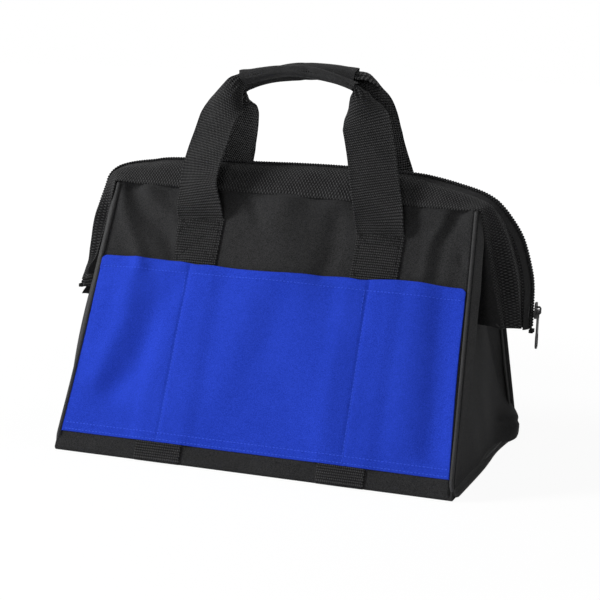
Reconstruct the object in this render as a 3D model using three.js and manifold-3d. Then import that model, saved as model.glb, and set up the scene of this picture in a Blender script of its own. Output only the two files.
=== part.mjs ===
// A zippered wide-mouth tool bag standing on its base, closed, with both handles up.
// Millimetres. X runs along the bag, the front faces -Y, Z is up.
// The origin is the middle of the underside of the base.
import * as THREE from "three";
import { mergeVertices } from "three/addons/utils/BufferGeometryUtils.js";
import Module from "manifold-3d";

// Body of the bag
const baseLength = 318;
const baseDepth = 210;
const seamLength = 294; // length of the straight seam along the top of a wall
const seamDepth = 44; // distance between the tops of the two walls, closed
const seamHeight = 200;
const baseThickness = 1.6;
const baseCornerRadius = 12;
const wallThickness = 2.4; // cloth, foam and lining
const endThickness = 1.6;
const boardThickness = 2.5;
const boardInset = 3; // play between the loose base board and the cloth round it
const clearance = 0.3; // between pieces that touch

// Mouth band, ears and zipper
const bandRise = 21.5; // from the top seam up to the zipper
const bandThickness = 1.5;
const zipStandOut = 31.5; // from the end of the bag out to the zipper, at the foot of the ear
const foldStandOut = 17; // from the end of the bag out to the crease of the ear
const foldHalfDepth = 26; // from the bag's middle plane to that crease
const gussetHalfDepth = 41; // from the bag's middle plane to where the ear joins the end
const gussetThickness = 1;
const gussetTop = 180;
const earBottom = 110;
const zipStraight = 45; // straight upright stretch of the zipper at the foot of each ear
const shoulderDrop = 33; // how far the upright direction carries into the shoulder
const shoulderRun = 62; // how far the level direction carries into the shoulder
const zipLevelLength = 180; // level stretch of the zipper along the top
const tapeWidth = 5.8;
const tapeThickness = 0.6;
const coilWidth = 2.5;
const coilHeight = 2;
const coilGap = 1.4; // between the two rows, where the slider's post runs

// Webbing straps, handles and pockets
const strapWidth = 38;
const strapThickness = 1.6;
const strapSpacing = 143.4; // between the middles of the two straps
const stitchHeight = 190.5; // up the wall, where the sewn strap ends and the handle starts
const handleRise = 117; // from that stitch line to the middle of the grip
const handleTopDepth = 8.8; // from the bag's middle plane to the middle of the grip
const legReach = 46; // half the distance between the legs where they enter the grip
const legNeck = 11; // over which a leg narrows just outside the grip
const legNeckDrop = 3.7; // from the end of the folded arch down to the foot of that neck
const legBow = 2; // how far a leg's outer edge bows out above the stitch line
const legBowHeight = 48; // above the stitch line
const legDrawIn = 9; // how far that edge has drawn in where it turns to the grip
const legTurnHeight = 77; // above the stitch line
const innerEdgeHeight = 54; // above the stitch line, where a leg's inner edge starts to turn
const innerTurn = 6; // how far short of the grip's end that edge turns up to it
const innerTurnHeight = 81; // above the stitch line
const foldedHeight = 9;
const gripLength = 90;
const gripSag = 9; // how far the ends of the grip hang below its middle
const gripHeight = 12.6;
const gripDepth = 16.6;
const pocketBottom = 16; // up the wall
const pocketTop = 154; // up the wall
const pocketThickness = 1.2;
const pocketInset = 4.6; // from the side edge of the wall to the side of the pocket
const pocketRamp = 3; // over which the pocket climbs from the wall onto a strap

// Bindings on the corner seams
const ridgeRadius = 2;
const flangeWidth = 9.3;
const cornerBindingTop = 186;
const bindingEndGap = 1; // between the foot of a corner binding and the bottom binding
const bottomBindingInset = 4; // from the front and back of the base to the bottom binding's ends

// Zipper slider and its pull
const sliderHeight = 14.3; // above the foot of the ear
const sliderLength = 12.5;
const sliderWidth = 9;
const sliderNoseWidth = 6.4;
const plateThickness = 1.2;
const plateClearance = 0.4;
const postThickness = 0.8;
const postLength = 3;
const bridgeHalfLength = 3.3;
const bridgeFoot = 1.4;
const bridgeBar = 1.2;
const bridgeWidth = 1.2;
const windowHeight = 2.2; // under the bridge
const pullLength = 30;
const pullWidth = 4.6;
const pullEyeWidth = 5.8;
const pullTipWidth = 6.6;
const pullThickness = 1.1;
const pullRail = 1.4; // width of metal left beside each hole
const eyeLength = 5.2;
const slotLength = 10.5;
const stopLength = 2.6; // metal stops that close the two rows together at the feet of the ears
const stopRim = 0.5; // of the stop, past the rows on each side

const wasm = await Module();
wasm.setup();

// Materials
const cloth = (color) => new THREE.MeshStandardMaterial({ color, roughness: 0.92, metalness: 0 });
const blackCloth = cloth(0x2b2b2c);
const blackWebbing = cloth(0x262627);
const bindingCloth = cloth(0x353536);
const blueCloth = cloth(0x2445c8);
const boardBlack = cloth(0x1c1c1d);
const coilBlack = new THREE.MeshStandardMaterial({ color: 0x222223, roughness: 0.45, metalness: 0 });
const darkMetal = new THREE.MeshStandardMaterial({ color: 0x3a3a3c, roughness: 0.4, metalness: 0.8 });

// Derived places
const endFall = (baseLength - seamLength) / 2;
const wallFall = (baseDepth - seamDepth) / 2;
const wallLean = Math.atan2(wallFall, seamHeight);
const endLean = Math.atan2(endFall, seamHeight);
const wallSlant = Math.hypot(wallFall, seamHeight);
const endX = (z) => baseLength / 2 - (endFall * z) / seamHeight;
const wallHalfLength = (up) => baseLength / 2 - (endFall * up) / wallSlant;

// Turns a geometry's faces outwards if its volume comes out negative
function facingOut(geometry) {
  const flat = geometry.index ? geometry.toNonIndexed() : geometry;
  const position = flat.getAttribute("position");
  const corners = [0, 1, 2].map(() => new THREE.Vector3());
  let volume = 0;
  for (let i = 0; i < position.count; i += 3) {
    corners.forEach((corner, k) => corner.fromBufferAttribute(position, i + k));
    volume += corners[0].dot(corners[1].clone().cross(corners[2]));
  }
  if (volume >= 0) return flat;
  const turned = position.array.slice();
  for (let i = 0; i < turned.length; i += 9) {
    for (let k = 0; k < 3; k += 1) {
      turned[i + 3 + k] = position.array[i + 6 + k];
      turned[i + 6 + k] = position.array[i + 3 + k];
    }
  }
  return new THREE.BufferGeometry().setAttribute("position", new THREE.BufferAttribute(turned, 3));
}

function mesh(name, geometry, material) {
  const made = new THREE.Mesh(facingOut(geometry), material);
  made.name = name;
  return made;
}

// Joins closed geometries into one
function joined(geometries) {
  const solids = geometries.map((geometry) => {
    const bare = new THREE.BufferGeometry();
    bare.setAttribute("position", facingOut(geometry).getAttribute("position"));
    const merged = mergeVertices(bare, 1e-4);
    return new wasm.Manifold(
      new wasm.Mesh({
        numProp: 3,
        vertProperties: merged.attributes.position.array,
        triVerts: new Uint32Array(merged.index.array),
      }),
    );
  });
  const whole = solids.reduce((sum, solid) => sum.add(solid)).getMesh();
  return new THREE.BufferGeometry()
    .setAttribute("position", new THREE.BufferAttribute(whole.vertProperties, 3))
    .setIndex(new THREE.BufferAttribute(whole.triVerts, 1));
}

function gridNormal(grid, i, j) {
  const rowBefore = grid[Math.max(i - 1, 0)][j];
  const rowAfter = grid[Math.min(i + 1, grid.length - 1)][j];
  const columnBefore = grid[i][Math.max(j - 1, 0)];
  const columnAfter = grid[i][Math.min(j + 1, grid[i].length - 1)];
  const along = rowAfter.clone().sub(rowBefore);
  const across = columnAfter.clone().sub(columnBefore);
  return across.cross(along).normalize();
}

// A closed sheet of even thickness on a grid of points, moved off the grid by lift along its normals
function thickSheet(grid, thickness, lift = 0) {
  const layer = (height) =>
    grid.map((row, i) => row.map((point, j) => point.clone().addScaledVector(gridNormal(grid, i, j), height)));
  const top = layer(lift + thickness / 2);
  const under = layer(lift - thickness / 2);
  const lastRow = grid.length - 1;
  const lastColumn = grid[0].length - 1;
  const positions = [];
  const quad = (a, b, c, d) => positions.push(...a, ...b, ...c, ...a, ...c, ...d);
  for (let i = 0; i < lastRow; i += 1) {
    for (let j = 0; j < lastColumn; j += 1) {
      quad(top[i][j], top[i + 1][j], top[i + 1][j + 1], top[i][j + 1]);
      quad(under[i][j], under[i][j + 1], under[i + 1][j + 1], under[i + 1][j]);
    }
    quad(top[i][0], under[i][0], under[i + 1][0], top[i + 1][0]);
    quad(top[i + 1][lastColumn], under[i + 1][lastColumn], under[i][lastColumn], top[i][lastColumn]);
  }
  for (let j = 0; j < lastColumn; j += 1) {
    quad(top[0][j + 1], under[0][j + 1], under[0][j], top[0][j]);
    quad(top[lastRow][j], under[lastRow][j], under[lastRow][j + 1], top[lastRow][j + 1]);
  }
  const geometry = new THREE.BufferGeometry();
  return geometry.setAttribute("position", new THREE.Float32BufferAttribute(positions, 3));
}

function polygon(points) {
  return new THREE.Shape(points.map(([x, y]) => new THREE.Vector2(x, y)));
}

function roundedRectangle(length, width, radius) {
  const x = length / 2;
  const y = width / 2;
  return new THREE.Shape()
    .moveTo(-x + radius, -y)
    .lineTo(x - radius, -y)
    .absarc(x - radius, -y + radius, radius, -Math.PI / 2, 0)
    .lineTo(x, y - radius)
    .absarc(x - radius, y - radius, radius, 0, Math.PI / 2)
    .lineTo(-x + radius, y)
    .absarc(-x + radius, y - radius, radius, Math.PI / 2, Math.PI)
    .lineTo(-x, -y + radius)
    .absarc(-x + radius, -y + radius, radius, Math.PI, 1.5 * Math.PI);
}

const extruded = (shape, depth, curveSegments = 6) =>
  new THREE.ExtrudeGeometry(shape, { depth, bevelEnabled: false, curveSegments });

// Stands a shape up across the bag: drawn along Y and up Z, with its thickness along X
const facingX = new THREE.Matrix4().makeBasis(
  new THREE.Vector3(0, 1, 0),
  new THREE.Vector3(0, 0, 1),
  new THREE.Vector3(1, 0, 0),
);

// A plate whose outline is drawn along X and up Z, with its outer face at the given Y and its thickness behind it
function uprightPlate(shape, thickness, outerY) {
  return extruded(shape, thickness).rotateX(Math.PI / 2).translate(0, outerY + thickness, 0);
}

// Base: the cloth bottom panel and the loose stiff board that lies on it
function makeBase() {
  const bottom = extruded(roundedRectangle(baseLength, baseDepth, baseCornerRadius), baseThickness);
  const board = extruded(
    roundedRectangle(
      baseLength - 2 * (endThickness + boardInset),
      baseDepth - 2 * (wallThickness + boardInset),
      baseCornerRadius,
    ),
    boardThickness,
  ).translate(0, 0, baseThickness + clearance);
  const base = new THREE.Group();
  base.add(mesh("bottom_panel", bottom, blackCloth), mesh("base_board", board, boardBlack));
  return base;
}

// Section of a corner binding: a round ridge and a flange that stands out at 45 degrees.
// The seam's corner is at (0, 0); hand 1 or -1 sends the flange to +X or -X.
function bindingSection(hand) {
  const middleX = -ridgeRadius + clearance;
  const middleY = -ridgeRadius - clearance - 0.1;
  const diagonal = Math.SQRT1_2;
  const arcSteps = 6;
  const points = [];
  for (let i = 0; i <= arcSteps; i += 1) {
    const angle = Math.PI / 4 + (1.5 * Math.PI * i) / arcSteps;
    points.push([middleX + ridgeRadius * Math.cos(angle), middleY + ridgeRadius * Math.sin(angle)]);
  }
  const inner = points[0];
  // The flange is as thick as the ridge is wide across its own 45 degree line
  const outer = points[arcSteps];
  const run = flangeWidth * diagonal;
  const thickness = (inner[1] - outer[1]) * diagonal;
  points.push([inner[0] + run + thickness * diagonal, inner[1] + run - thickness * diagonal]);
  points.push([inner[0] + run, inner[1] + run]);
  return polygon(points.map(([x, y]) => [hand * x, y]));
}

// An end of the bag: the leaning end panel and the binding along its foot
function makeEnd(side) {
  const halfWidth = (z) =>
    baseDepth / 2 - (wallFall * z) / seamHeight - (wallThickness + clearance) / Math.cos(wallLean);
  const foot = baseThickness + clearance;
  const top = seamHeight - 2 * bandThickness;
  const upTo = (z) => z / Math.cos(endLean);
  const outline = polygon([
    [-halfWidth(foot), upTo(foot)],
    [halfWidth(foot), upTo(foot)],
    [halfWidth(top), upTo(top)],
    [-halfWidth(top), upTo(top)],
  ]);
  const panel = mesh(
    `${side}_end_panel`,
    extruded(outline, endThickness).applyMatrix4(facingX).translate(-endThickness, 0, 0),
    blackCloth,
  );
  panel.position.x = baseLength / 2;
  panel.rotation.y = -endLean;

  const ridgeLift = 2 * ridgeRadius;
  const bindingLength = baseDepth - 2 * bottomBindingInset;
  const binding = mesh(
    `${side}_bottom_binding`,
    extruded(bindingSection(1), bindingLength).rotateX(Math.PI / 2).translate(0, bindingLength / 2, 0),
    bindingCloth,
  );
  binding.position.set(baseLength / 2 + ridgeLift, 0, ridgeLift + 3 * clearance);

  const end = new THREE.Group();
  end.add(panel, binding);
  end.rotation.z = side === "right" ? 0 : Math.PI;
  return end;
}

// Mouth of the front half: matching points of the crease or top seam and of the zipper.
// The stations run from the foot of the right ear, over the top, to the foot of the left ear.
function mouthStations() {
  const reach = endX(earBottom) + zipStandOut;
  const zipTop = seamHeight + bandRise;
  const straightTop = earBottom + zipStraight;
  const level = zipLevelLength / 2;
  const shoulder = new THREE.CubicBezierCurve(
    new THREE.Vector2(reach, straightTop),
    new THREE.Vector2(reach - 2, straightTop + shoulderDrop),
    new THREE.Vector2(level + shoulderRun, zipTop),
    new THREE.Vector2(level, zipTop),
  );
  const foldFoot = new THREE.Vector3(endX(earBottom) + foldStandOut, -foldHalfDepth, earBottom);
  const corner = new THREE.Vector3(endX(seamHeight), -seamDepth / 2, seamHeight);
  const foldLength = foldFoot.distanceTo(corner);
  const seamFrom = (run) => new THREE.Vector3(corner.x - run, corner.y, corner.z);
  const foldAt = (run) =>
    run < foldLength ? foldFoot.clone().lerp(corner, run / foldLength) : seamFrom(run - foldLength);
  const shoulderRunOnFold = foldLength + (corner.x - level) - zipStraight;
  const cornerShare = (foldLength - zipStraight) / shoulderRunOnFold;
  const station = (fold, zip, out) => ({ fold, zip, out });

  const half = [];
  const straightSteps = 2;
  for (let i = 0; i < straightSteps; i += 1) {
    const run = (zipStraight * i) / straightSteps;
    half.push(station(foldAt(run), new THREE.Vector2(reach, earBottom + run), new THREE.Vector2(1, 0)));
  }
  const shoulderSteps = 5;
  const shares = [];
  for (let i = 0; i < shoulderSteps; i += 1) shares.push((cornerShare * i) / shoulderSteps);
  for (let i = 0; i <= shoulderSteps; i += 1) {
    shares.push(cornerShare + ((1 - cornerShare) * i) / shoulderSteps);
  }
  shares.forEach((share) => {
    const tangent = shoulder.getTangent(share);
    const out = new THREE.Vector2(tangent.y, -tangent.x);
    half.push(station(foldAt(zipStraight + shoulderRunOnFold * share), shoulder.getPoint(share), out));
  });
  const mirrored = half
    .slice()
    .reverse()
    .map(({ fold, zip, out }) => ({
      fold: new THREE.Vector3(-fold.x, fold.y, fold.z),
      zip: new THREE.Vector2(-zip.x, zip.y),
      out: new THREE.Vector2(-out.x, out.y),
    }));
  return [...half, ...mirrored];
}

// The band of webbing, the zipper tape and the coil of one half of the mouth
function makeMouth(side) {
  const stations = mouthStations();
  const zipPoint = ({ zip }, y) => new THREE.Vector3(zip.x, y, zip.y);
  const tapeInner = -coilGap / 2;
  const tapeOuter = tapeInner - tapeWidth;
  const bandEdge = tapeOuter - clearance - bandThickness / 2;
  const coilOuter = tapeInner - coilWidth;
  const coilLift = (tapeThickness + coilHeight) / 2 + clearance;
  const band = thickSheet(
    stations.map((at) => [at.fold, zipPoint(at, bandEdge)]),
    bandThickness,
  );
  const tape = thickSheet(
    stations.map((at) => [zipPoint(at, tapeOuter), zipPoint(at, tapeInner)]),
    tapeThickness,
  );
  const coil = thickSheet(
    stations.map((at) => [zipPoint(at, coilOuter), zipPoint(at, tapeInner)]),
    coilHeight,
    coilLift,
  );
  return [
    mesh(`${side}_mouth_band`, band, blackWebbing),
    mesh(`${side}_zip_tape`, tape, blackCloth),
    mesh(`${side}_zip_coil`, coil, coilBlack),
  ];
}

// The gusset of an ear, from the end panel out to the crease
function makeGusset(name, hand) {
  const foot = earBottom + clearance;
  const foldFoot = new THREE.Vector3(endX(earBottom) + foldStandOut, -foldHalfDepth, earBottom);
  const corner = new THREE.Vector3(endX(seamHeight), -seamDepth / 2, seamHeight);
  const steps = 3;
  const rows = [];
  for (let i = 0; i <= steps; i += 1) {
    const z = foot + ((gussetTop - foot) * i) / steps;
    const share = (z - earBottom) / (seamHeight - earBottom);
    const crease = foldFoot.clone().lerp(corner, share);
    const root = new THREE.Vector3(
      endX(z) + clearance + gussetThickness,
      THREE.MathUtils.lerp(-gussetHalfDepth, -seamDepth / 2 - gussetThickness, share),
      z,
    );
    const shortOfCrease = root.clone().sub(crease).setLength(bandThickness + clearance);
    crease.add(shortOfCrease);
    rows.push([root, crease].map((point) => new THREE.Vector3(hand * point.x, point.y, point.z)));
  }
  return mesh(name, thickSheet(rows, gussetThickness), blackCloth);
}

// Outline of the wall, drawn along X and up the slope
function wallOutline() {
  const foot = (baseThickness + clearance + wallThickness * Math.sin(wallLean)) / Math.cos(wallLean);
  const top = wallSlant - bandThickness - 3 * clearance;
  return polygon([
    [-wallHalfLength(foot), foot],
    [wallHalfLength(foot), foot],
    [wallHalfLength(top), top],
    [-wallHalfLength(top), top],
  ]);
}

// The pocket sheet lies on the wall and climbs over both straps
function makePocket(name) {
  const onWall = -(clearance + pocketThickness / 2);
  const onStrap = onWall - strapThickness - clearance;
  const strapMiddle = strapSpacing / 2;
  const strapEdge = strapWidth / 2 + pocketThickness;
  const columnsAt = (up) => {
    const edge = wallHalfLength(up) - pocketInset;
    const half = [
      [strapMiddle - strapEdge - pocketRamp, onWall],
      [strapMiddle - strapEdge, onStrap],
      [strapMiddle + strapEdge, onStrap],
      [strapMiddle + strapEdge + pocketRamp, onWall],
      [edge, onWall],
    ];
    const whole = [...half.map(([x, y]) => [-x, y]).reverse(), ...half];
    return whole.map(([x, y]) => new THREE.Vector3(x, y, up));
  };
  return mesh(name, thickSheet([columnsAt(pocketBottom), columnsAt(pocketTop)], pocketThickness), blueCloth);
}

function makeStrap(name, middle) {
  const foot = (baseThickness + clearance) / Math.cos(wallLean);
  const outline = polygon([
    [middle - strapWidth / 2, foot],
    [middle + strapWidth / 2, foot],
    [middle + strapWidth / 2, stitchHeight],
    [middle - strapWidth / 2, stitchHeight],
  ]);
  return mesh(name, uprightPlate(outline, strapThickness, -clearance - strapThickness), blackWebbing);
}

function makeCornerBinding(name, hand) {
  const bottomBindingTop = 2 * (ridgeRadius + clearance) + clearance + flangeWidth * Math.SQRT1_2;
  const foot = (bottomBindingTop + bindingEndGap) / Math.cos(wallLean);
  const top = cornerBindingTop / Math.cos(wallLean);
  const binding = mesh(name, extruded(bindingSection(hand), top - foot), bindingCloth);
  binding.position.set(hand * wallHalfLength(foot), 0, foot);
  binding.rotation.y = -hand * Math.atan2(endFall, wallSlant);
  return binding;
}

// Arc of the grip, in the plane of the handle, with the stitch line at height 0
class GripArc extends THREE.Curve {
  constructor(length) {
    super();
    this.radius = ((gripLength / 2) ** 2 + gripSag ** 2) / (2 * gripSag);
    this.halfAngle = Math.asin(length / 2 / this.radius);
  }

  getPoint(t) {
    const angle = (2 * t - 1) * this.halfAngle;
    const middle = handleRise - this.radius;
    return new THREE.Vector3(this.radius * Math.sin(angle), 0, middle + this.radius * Math.cos(angle));
  }
}

// The handle's webbing: two flat legs that narrow into a folded arch inside the grip
function makeHandleWebbing(name) {
  const arc = new GripArc(2 * legReach);
  const steps = 12;
  const foot = 2 * clearance;
  const inner = strapSpacing / 2 - strapWidth / 2;
  const outer = strapSpacing / 2 + strapWidth / 2;
  const end = arc.getPoint(1);
  const foldedEdge = (side) =>
    Array.from({ length: steps + 1 }, (_, i) => {
      const point = arc.getPoint(i / steps);
      return new THREE.Vector2(point.x, point.z + (side * foldedHeight) / 2);
    });
  const neck = new THREE.Vector2(end.x + legNeck, end.z - legNeckDrop);
  const turnIn = outer - legDrawIn;
  const underArch = end.z - foldedHeight / 2;
  const shape = new THREE.Shape();
  shape.moveTo(outer, foot);
  // Outer edge of the right leg, then the top of the arch, then the left leg
  shape.bezierCurveTo(outer + legBow, legBowHeight, turnIn, legTurnHeight, neck.x, neck.y);
  foldedEdge(1)
    .reverse()
    .forEach((point) => shape.lineTo(point.x, point.y));
  shape.lineTo(-neck.x, neck.y);
  shape.bezierCurveTo(-turnIn, legTurnHeight, -outer - legBow, legBowHeight, -outer, foot);
  shape.lineTo(-inner, foot);
  shape.bezierCurveTo(-inner, innerEdgeHeight, innerTurn - end.x, innerTurnHeight, -end.x, underArch);
  foldedEdge(-1).forEach((point) => shape.lineTo(point.x, point.y));
  shape.bezierCurveTo(end.x - innerTurn, innerTurnHeight, inner, innerEdgeHeight, inner, foot);
  return mesh(name, uprightPlate(shape, strapThickness, 0), blackWebbing);
}

// The cloth sleeve round the folded webbing
function makeGrip(name) {
  const ring = (height, depth) => {
    const outline = new THREE.Path();
    return outline.absellipse(0, 0, depth / 2, height / 2, 0, 2 * Math.PI);
  };
  const shape = new THREE.Shape(ring(gripHeight, gripDepth).getPoints(5));
  const bore = roundedRectangle(
    strapThickness + 2 * clearance,
    foldedHeight + 2 * clearance,
    strapThickness / 4,
  );
  shape.holes.push(new THREE.Path(bore.getPoints(1)));
  const arcSleeve = new THREE.ExtrudeGeometry(shape, {
    steps: 12,
    bevelEnabled: false,
    extrudePath: new GripArc(gripLength),
  }).translate(0, strapThickness / 2, 0);
  return mesh(name, arcSleeve, blackCloth);
}

function makeHandle(side) {
  const handle = new THREE.Group();
  handle.add(makeHandleWebbing(`${side}_handle_webbing`), makeGrip(`${side}_grip_sleeve`));
  // The webbing folds along the outer face of the sewn strap, at its top stitch line,
  // and the handle leans in from there until the two grips meet
  const outward = clearance + strapThickness;
  const stitchY = -baseDepth / 2 + stitchHeight * Math.sin(wallLean) - outward * Math.cos(wallLean);
  const stitchZ = stitchHeight * Math.cos(wallLean) + outward * Math.sin(wallLean);
  const gripRadius = Math.hypot(handleRise, strapThickness / 2);
  const gripOffset = Math.atan2(strapThickness / 2, handleRise);
  handle.position.set(0, stitchY, stitchZ);
  handle.rotation.x = gripOffset - Math.asin((-handleTopDepth - stitchY) / gripRadius);
  return handle;
}

// One wall of the bag with all that is sewn to it.
// The back is the same wall turned round, so its local -X end is the bag's right end.
function makeSide(side) {
  const ends = side === "front" ? { "-1": "left", 1: "right" } : { "-1": "right", 1: "left" };
  const wall = new THREE.Group();
  wall.position.y = -baseDepth / 2;
  wall.rotation.x = -wallLean;
  wall.add(mesh(`${side}_panel`, uprightPlate(wallOutline(), wallThickness, 0), blackCloth));
  wall.add(makePocket(`${side}_pocket`));
  const whole = new THREE.Group();
  whole.add(wall, makeHandle(side), ...makeMouth(side));
  [-1, 1].forEach((hand) => {
    const end = ends[hand];
    wall.add(makeStrap(`${side}_${end}_strap`, (hand * strapSpacing) / 2));
    wall.add(makeCornerBinding(`${side}_${end}_binding`, hand));
    whole.add(makeGusset(`${side}_${end}_gusset`, hand));
  });
  whole.rotation.z = side === "front" ? 0 : Math.PI;
  return whole;
}

// Zipper slider: two plates round the zipper, the post that parts the rows, and the bridge for the pull.
// Local X points out of the zipper, and the tapes' middle plane is at X 0.
const outerPlateFace = tapeThickness / 2 + clearance + coilHeight + plateClearance;
const innerPlateFace = -tapeThickness / 2 - plateClearance;
const bridgeSeat = outerPlateFace + plateThickness;

function sliderPlate() {
  const half = sliderLength / 2;
  const wide = sliderWidth / 2;
  const nose = sliderNoseWidth / 2;
  return new THREE.Shape()
    .moveTo(-wide, -half / 2)
    .quadraticCurveTo(-wide, -half, -wide / 2, -half)
    .lineTo(wide / 2, -half)
    .quadraticCurveTo(wide, -half, wide, -half / 2)
    .lineTo(nose, half - nose / 2)
    .quadraticCurveTo(nose, half, 0, half)
    .quadraticCurveTo(-nose, half, -nose, half - nose / 2)
    .lineTo(-wide, -half / 2);
}

function makeSlider() {
  const plate = () => extruded(sliderPlate(), plateThickness, 3).applyMatrix4(facingX);
  const outerPlate = plate().translate(outerPlateFace, 0, 0);
  const innerPlate = plate().translate(innerPlateFace - plateThickness, 0, 0);
  const postDepth = bridgeSeat - innerPlateFace;
  const post = new THREE.BoxGeometry(postDepth, postThickness, postLength).translate(
    innerPlateFace + postDepth / 2 - plateThickness / 2,
    0,
    -sliderLength / 2 + postLength,
  );
  const window = bridgeHalfLength - bridgeFoot;
  const sunk = plateThickness / 2;
  const arch = polygon([
    [-sunk, -bridgeHalfLength],
    [windowHeight, -bridgeHalfLength],
    [windowHeight + bridgeBar, -window],
    [windowHeight + bridgeBar, window],
    [windowHeight, bridgeHalfLength],
    [-sunk, bridgeHalfLength],
    [-sunk, window],
    [windowHeight, window],
    [windowHeight, -window],
    [-sunk, -window],
  ]);
  const bridge = extruded(arch, bridgeWidth)
    .rotateX(Math.PI / 2)
    .translate(bridgeSeat, bridgeWidth / 2, 0);
  return mesh("zip_slider", joined([outerPlate, innerPlate, post, bridge]), darkMetal);
}

// The pull hangs from the bridge by its eye; its crossbar turns under the bridge
function makePull() {
  const eye = pullEyeWidth / 2;
  const shank = pullWidth / 2;
  const tip = pullTipWidth / 2;
  const bar = pullThickness / 2;
  const tipTop = bar - pullLength + slotLength + 2 * pullRail;
  const shape = new THREE.Shape()
    .moveTo(-eye, bar)
    .lineTo(eye, bar)
    .lineTo(eye, -eyeLength)
    .lineTo(shank, -eyeLength - 2 * pullRail)
    .lineTo(shank, tipTop)
    .quadraticCurveTo(tip, tipTop - tip, tip, tipTop - slotLength / 2)
    .lineTo(tip, bar - pullLength + tip)
    .absarc(0, bar - pullLength + tip, tip, 0, -Math.PI, true)
    .lineTo(-tip, tipTop - slotLength / 2)
    .quadraticCurveTo(-tip, tipTop - tip, -shank, tipTop)
    .lineTo(-shank, -eyeLength - 2 * pullRail)
    .lineTo(-eye, -eyeLength);
  const eyeHole = new THREE.Path(
    roundedRectangle(pullEyeWidth - 2 * pullRail, eyeLength, 0.4)
      .getPoints(1)
      .map((point) => new THREE.Vector2(point.x, point.y - bar - eyeLength / 2)),
  );
  const slotHalf = tip - pullRail;
  const slotHole = new THREE.Path(
    roundedRectangle(2 * slotHalf, slotLength, slotHalf * 0.95)
      .getPoints(3)
      .map((point) => new THREE.Vector2(point.x, point.y + bar - pullLength + pullRail + slotLength / 2)),
  );
  shape.holes.push(eyeHole, slotHole);
  const tab = extruded(shape, pullThickness, 3)
    .translate(0, 0, -pullThickness / 2)
    .applyMatrix4(facingX);
  return mesh("zip_pull", tab, darkMetal);
}

// A metal stop just below the ends of the tapes and coils
function makeZipStop(side) {
  const depth = tapeThickness + clearance + coilHeight;
  const width = coilGap + 2 * coilWidth + 2 * stopRim;
  const stop = mesh(`${side}_zip_stop`, new THREE.BoxGeometry(depth, width, stopLength), darkMetal);
  const middleX = endX(earBottom) + zipStandOut + (depth - tapeThickness) / 2;
  stop.position.set(side === "right" ? middleX : -middleX, 0, earBottom - clearance - stopLength / 2);
  return stop;
}

function makeSliderOnZip() {
  const slider = new THREE.Group();
  slider.position.set(endX(earBottom) + zipStandOut, 0, earBottom + sliderHeight);
  const pull = makePull();
  pull.position.x = bridgeSeat + windowHeight / 2;
  slider.add(makeSlider(), pull);
  return slider;
}

const bag = new THREE.Group();
bag.add(makeBase(), makeEnd("left"), makeEnd("right"));
bag.add(makeSide("front"), makeSide("back"), makeSliderOnZip());
bag.add(makeZipStop("left"), makeZipStop("right"));

export default bag;
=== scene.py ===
"""Looks of the zippered tool bag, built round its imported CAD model.

Sizes are in millimetres until a mesh is made. X runs along the bag, the front faces -Y, Z is up.
A side is -1 for the front half and +1 for the back half; a hand is +1 for the right end, -1 for the left.
"""

import math

import bmesh
import bpy
import numpy as np
from mathutils import Matrix, Vector


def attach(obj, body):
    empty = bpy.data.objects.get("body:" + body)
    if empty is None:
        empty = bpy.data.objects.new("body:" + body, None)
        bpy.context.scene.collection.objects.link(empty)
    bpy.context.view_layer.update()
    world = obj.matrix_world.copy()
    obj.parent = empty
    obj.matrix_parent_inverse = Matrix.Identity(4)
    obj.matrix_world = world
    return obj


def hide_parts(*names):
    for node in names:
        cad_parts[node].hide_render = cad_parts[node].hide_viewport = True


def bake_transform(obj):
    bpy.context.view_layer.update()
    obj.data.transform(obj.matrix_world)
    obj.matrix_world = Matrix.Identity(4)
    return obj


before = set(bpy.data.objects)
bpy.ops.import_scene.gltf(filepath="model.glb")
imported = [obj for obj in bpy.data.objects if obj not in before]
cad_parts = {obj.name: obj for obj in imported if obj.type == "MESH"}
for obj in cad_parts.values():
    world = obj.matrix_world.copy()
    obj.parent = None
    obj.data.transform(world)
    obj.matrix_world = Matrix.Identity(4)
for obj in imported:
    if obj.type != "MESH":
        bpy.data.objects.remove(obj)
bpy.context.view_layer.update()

FRONT, BACK = -1, 1
LEFT, RIGHT = -1, 1
SIDE_NAMES = {FRONT: "front", BACK: "back"}
HAND_NAMES = {LEFT: "left", RIGHT: "right"}
MM = 0.001

# Body of the bag, as in the part's source
BASE_LENGTH = 318
BASE_DEPTH = 210
SEAM_LENGTH = 294
SEAM_DEPTH = 44
SEAM_HEIGHT = 200
WALL_THICKNESS = 2.4
END_THICKNESS = 1.6
WALL_FALL = (BASE_DEPTH - SEAM_DEPTH) / 2
END_FALL = (BASE_LENGTH - SEAM_LENGTH) / 2
WALL_LEAN = math.atan2(WALL_FALL, SEAM_HEIGHT)
WALL_SLANT = math.hypot(WALL_FALL, SEAM_HEIGHT)

# Mouth, as in the part's source
BAND_THICKNESS = 1.5
FOLD_STAND_OUT = 17
FOLD_HALF_DEPTH = 26
EAR_BOTTOM = 110
ZIP_STRAIGHT = 45
ZIP_LEVEL = 90
COIL_GAP = 1.4

# Straps, pockets and handles, as in the part's source
STRAP_THICKNESS = 1.6
STRAP_MIDDLE = 71.7
STITCH_HEIGHT = 190.5
POCKET_BOTTOM = 16
POCKET_TOP = 154
POCKET_INSET = 5.4
POCKET_WAIST = 1.6
HANDLE_HINGE = (33.736, 176.678)
HANDLE_LEAN = 0.20794

# Width of the webbing without its rounded edges, as it measures in the photo
WEB_WIDTH = 35.6

# Thickness of the cloths that are thinner than their solids, and of the pocket's folded hem over them
POCKET_THICKNESS = 0.9
HEM_THICKNESS = 0.5
GUSSET_THICKNESS = 1.0
TAPE_THICKNESS = 0.6

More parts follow.
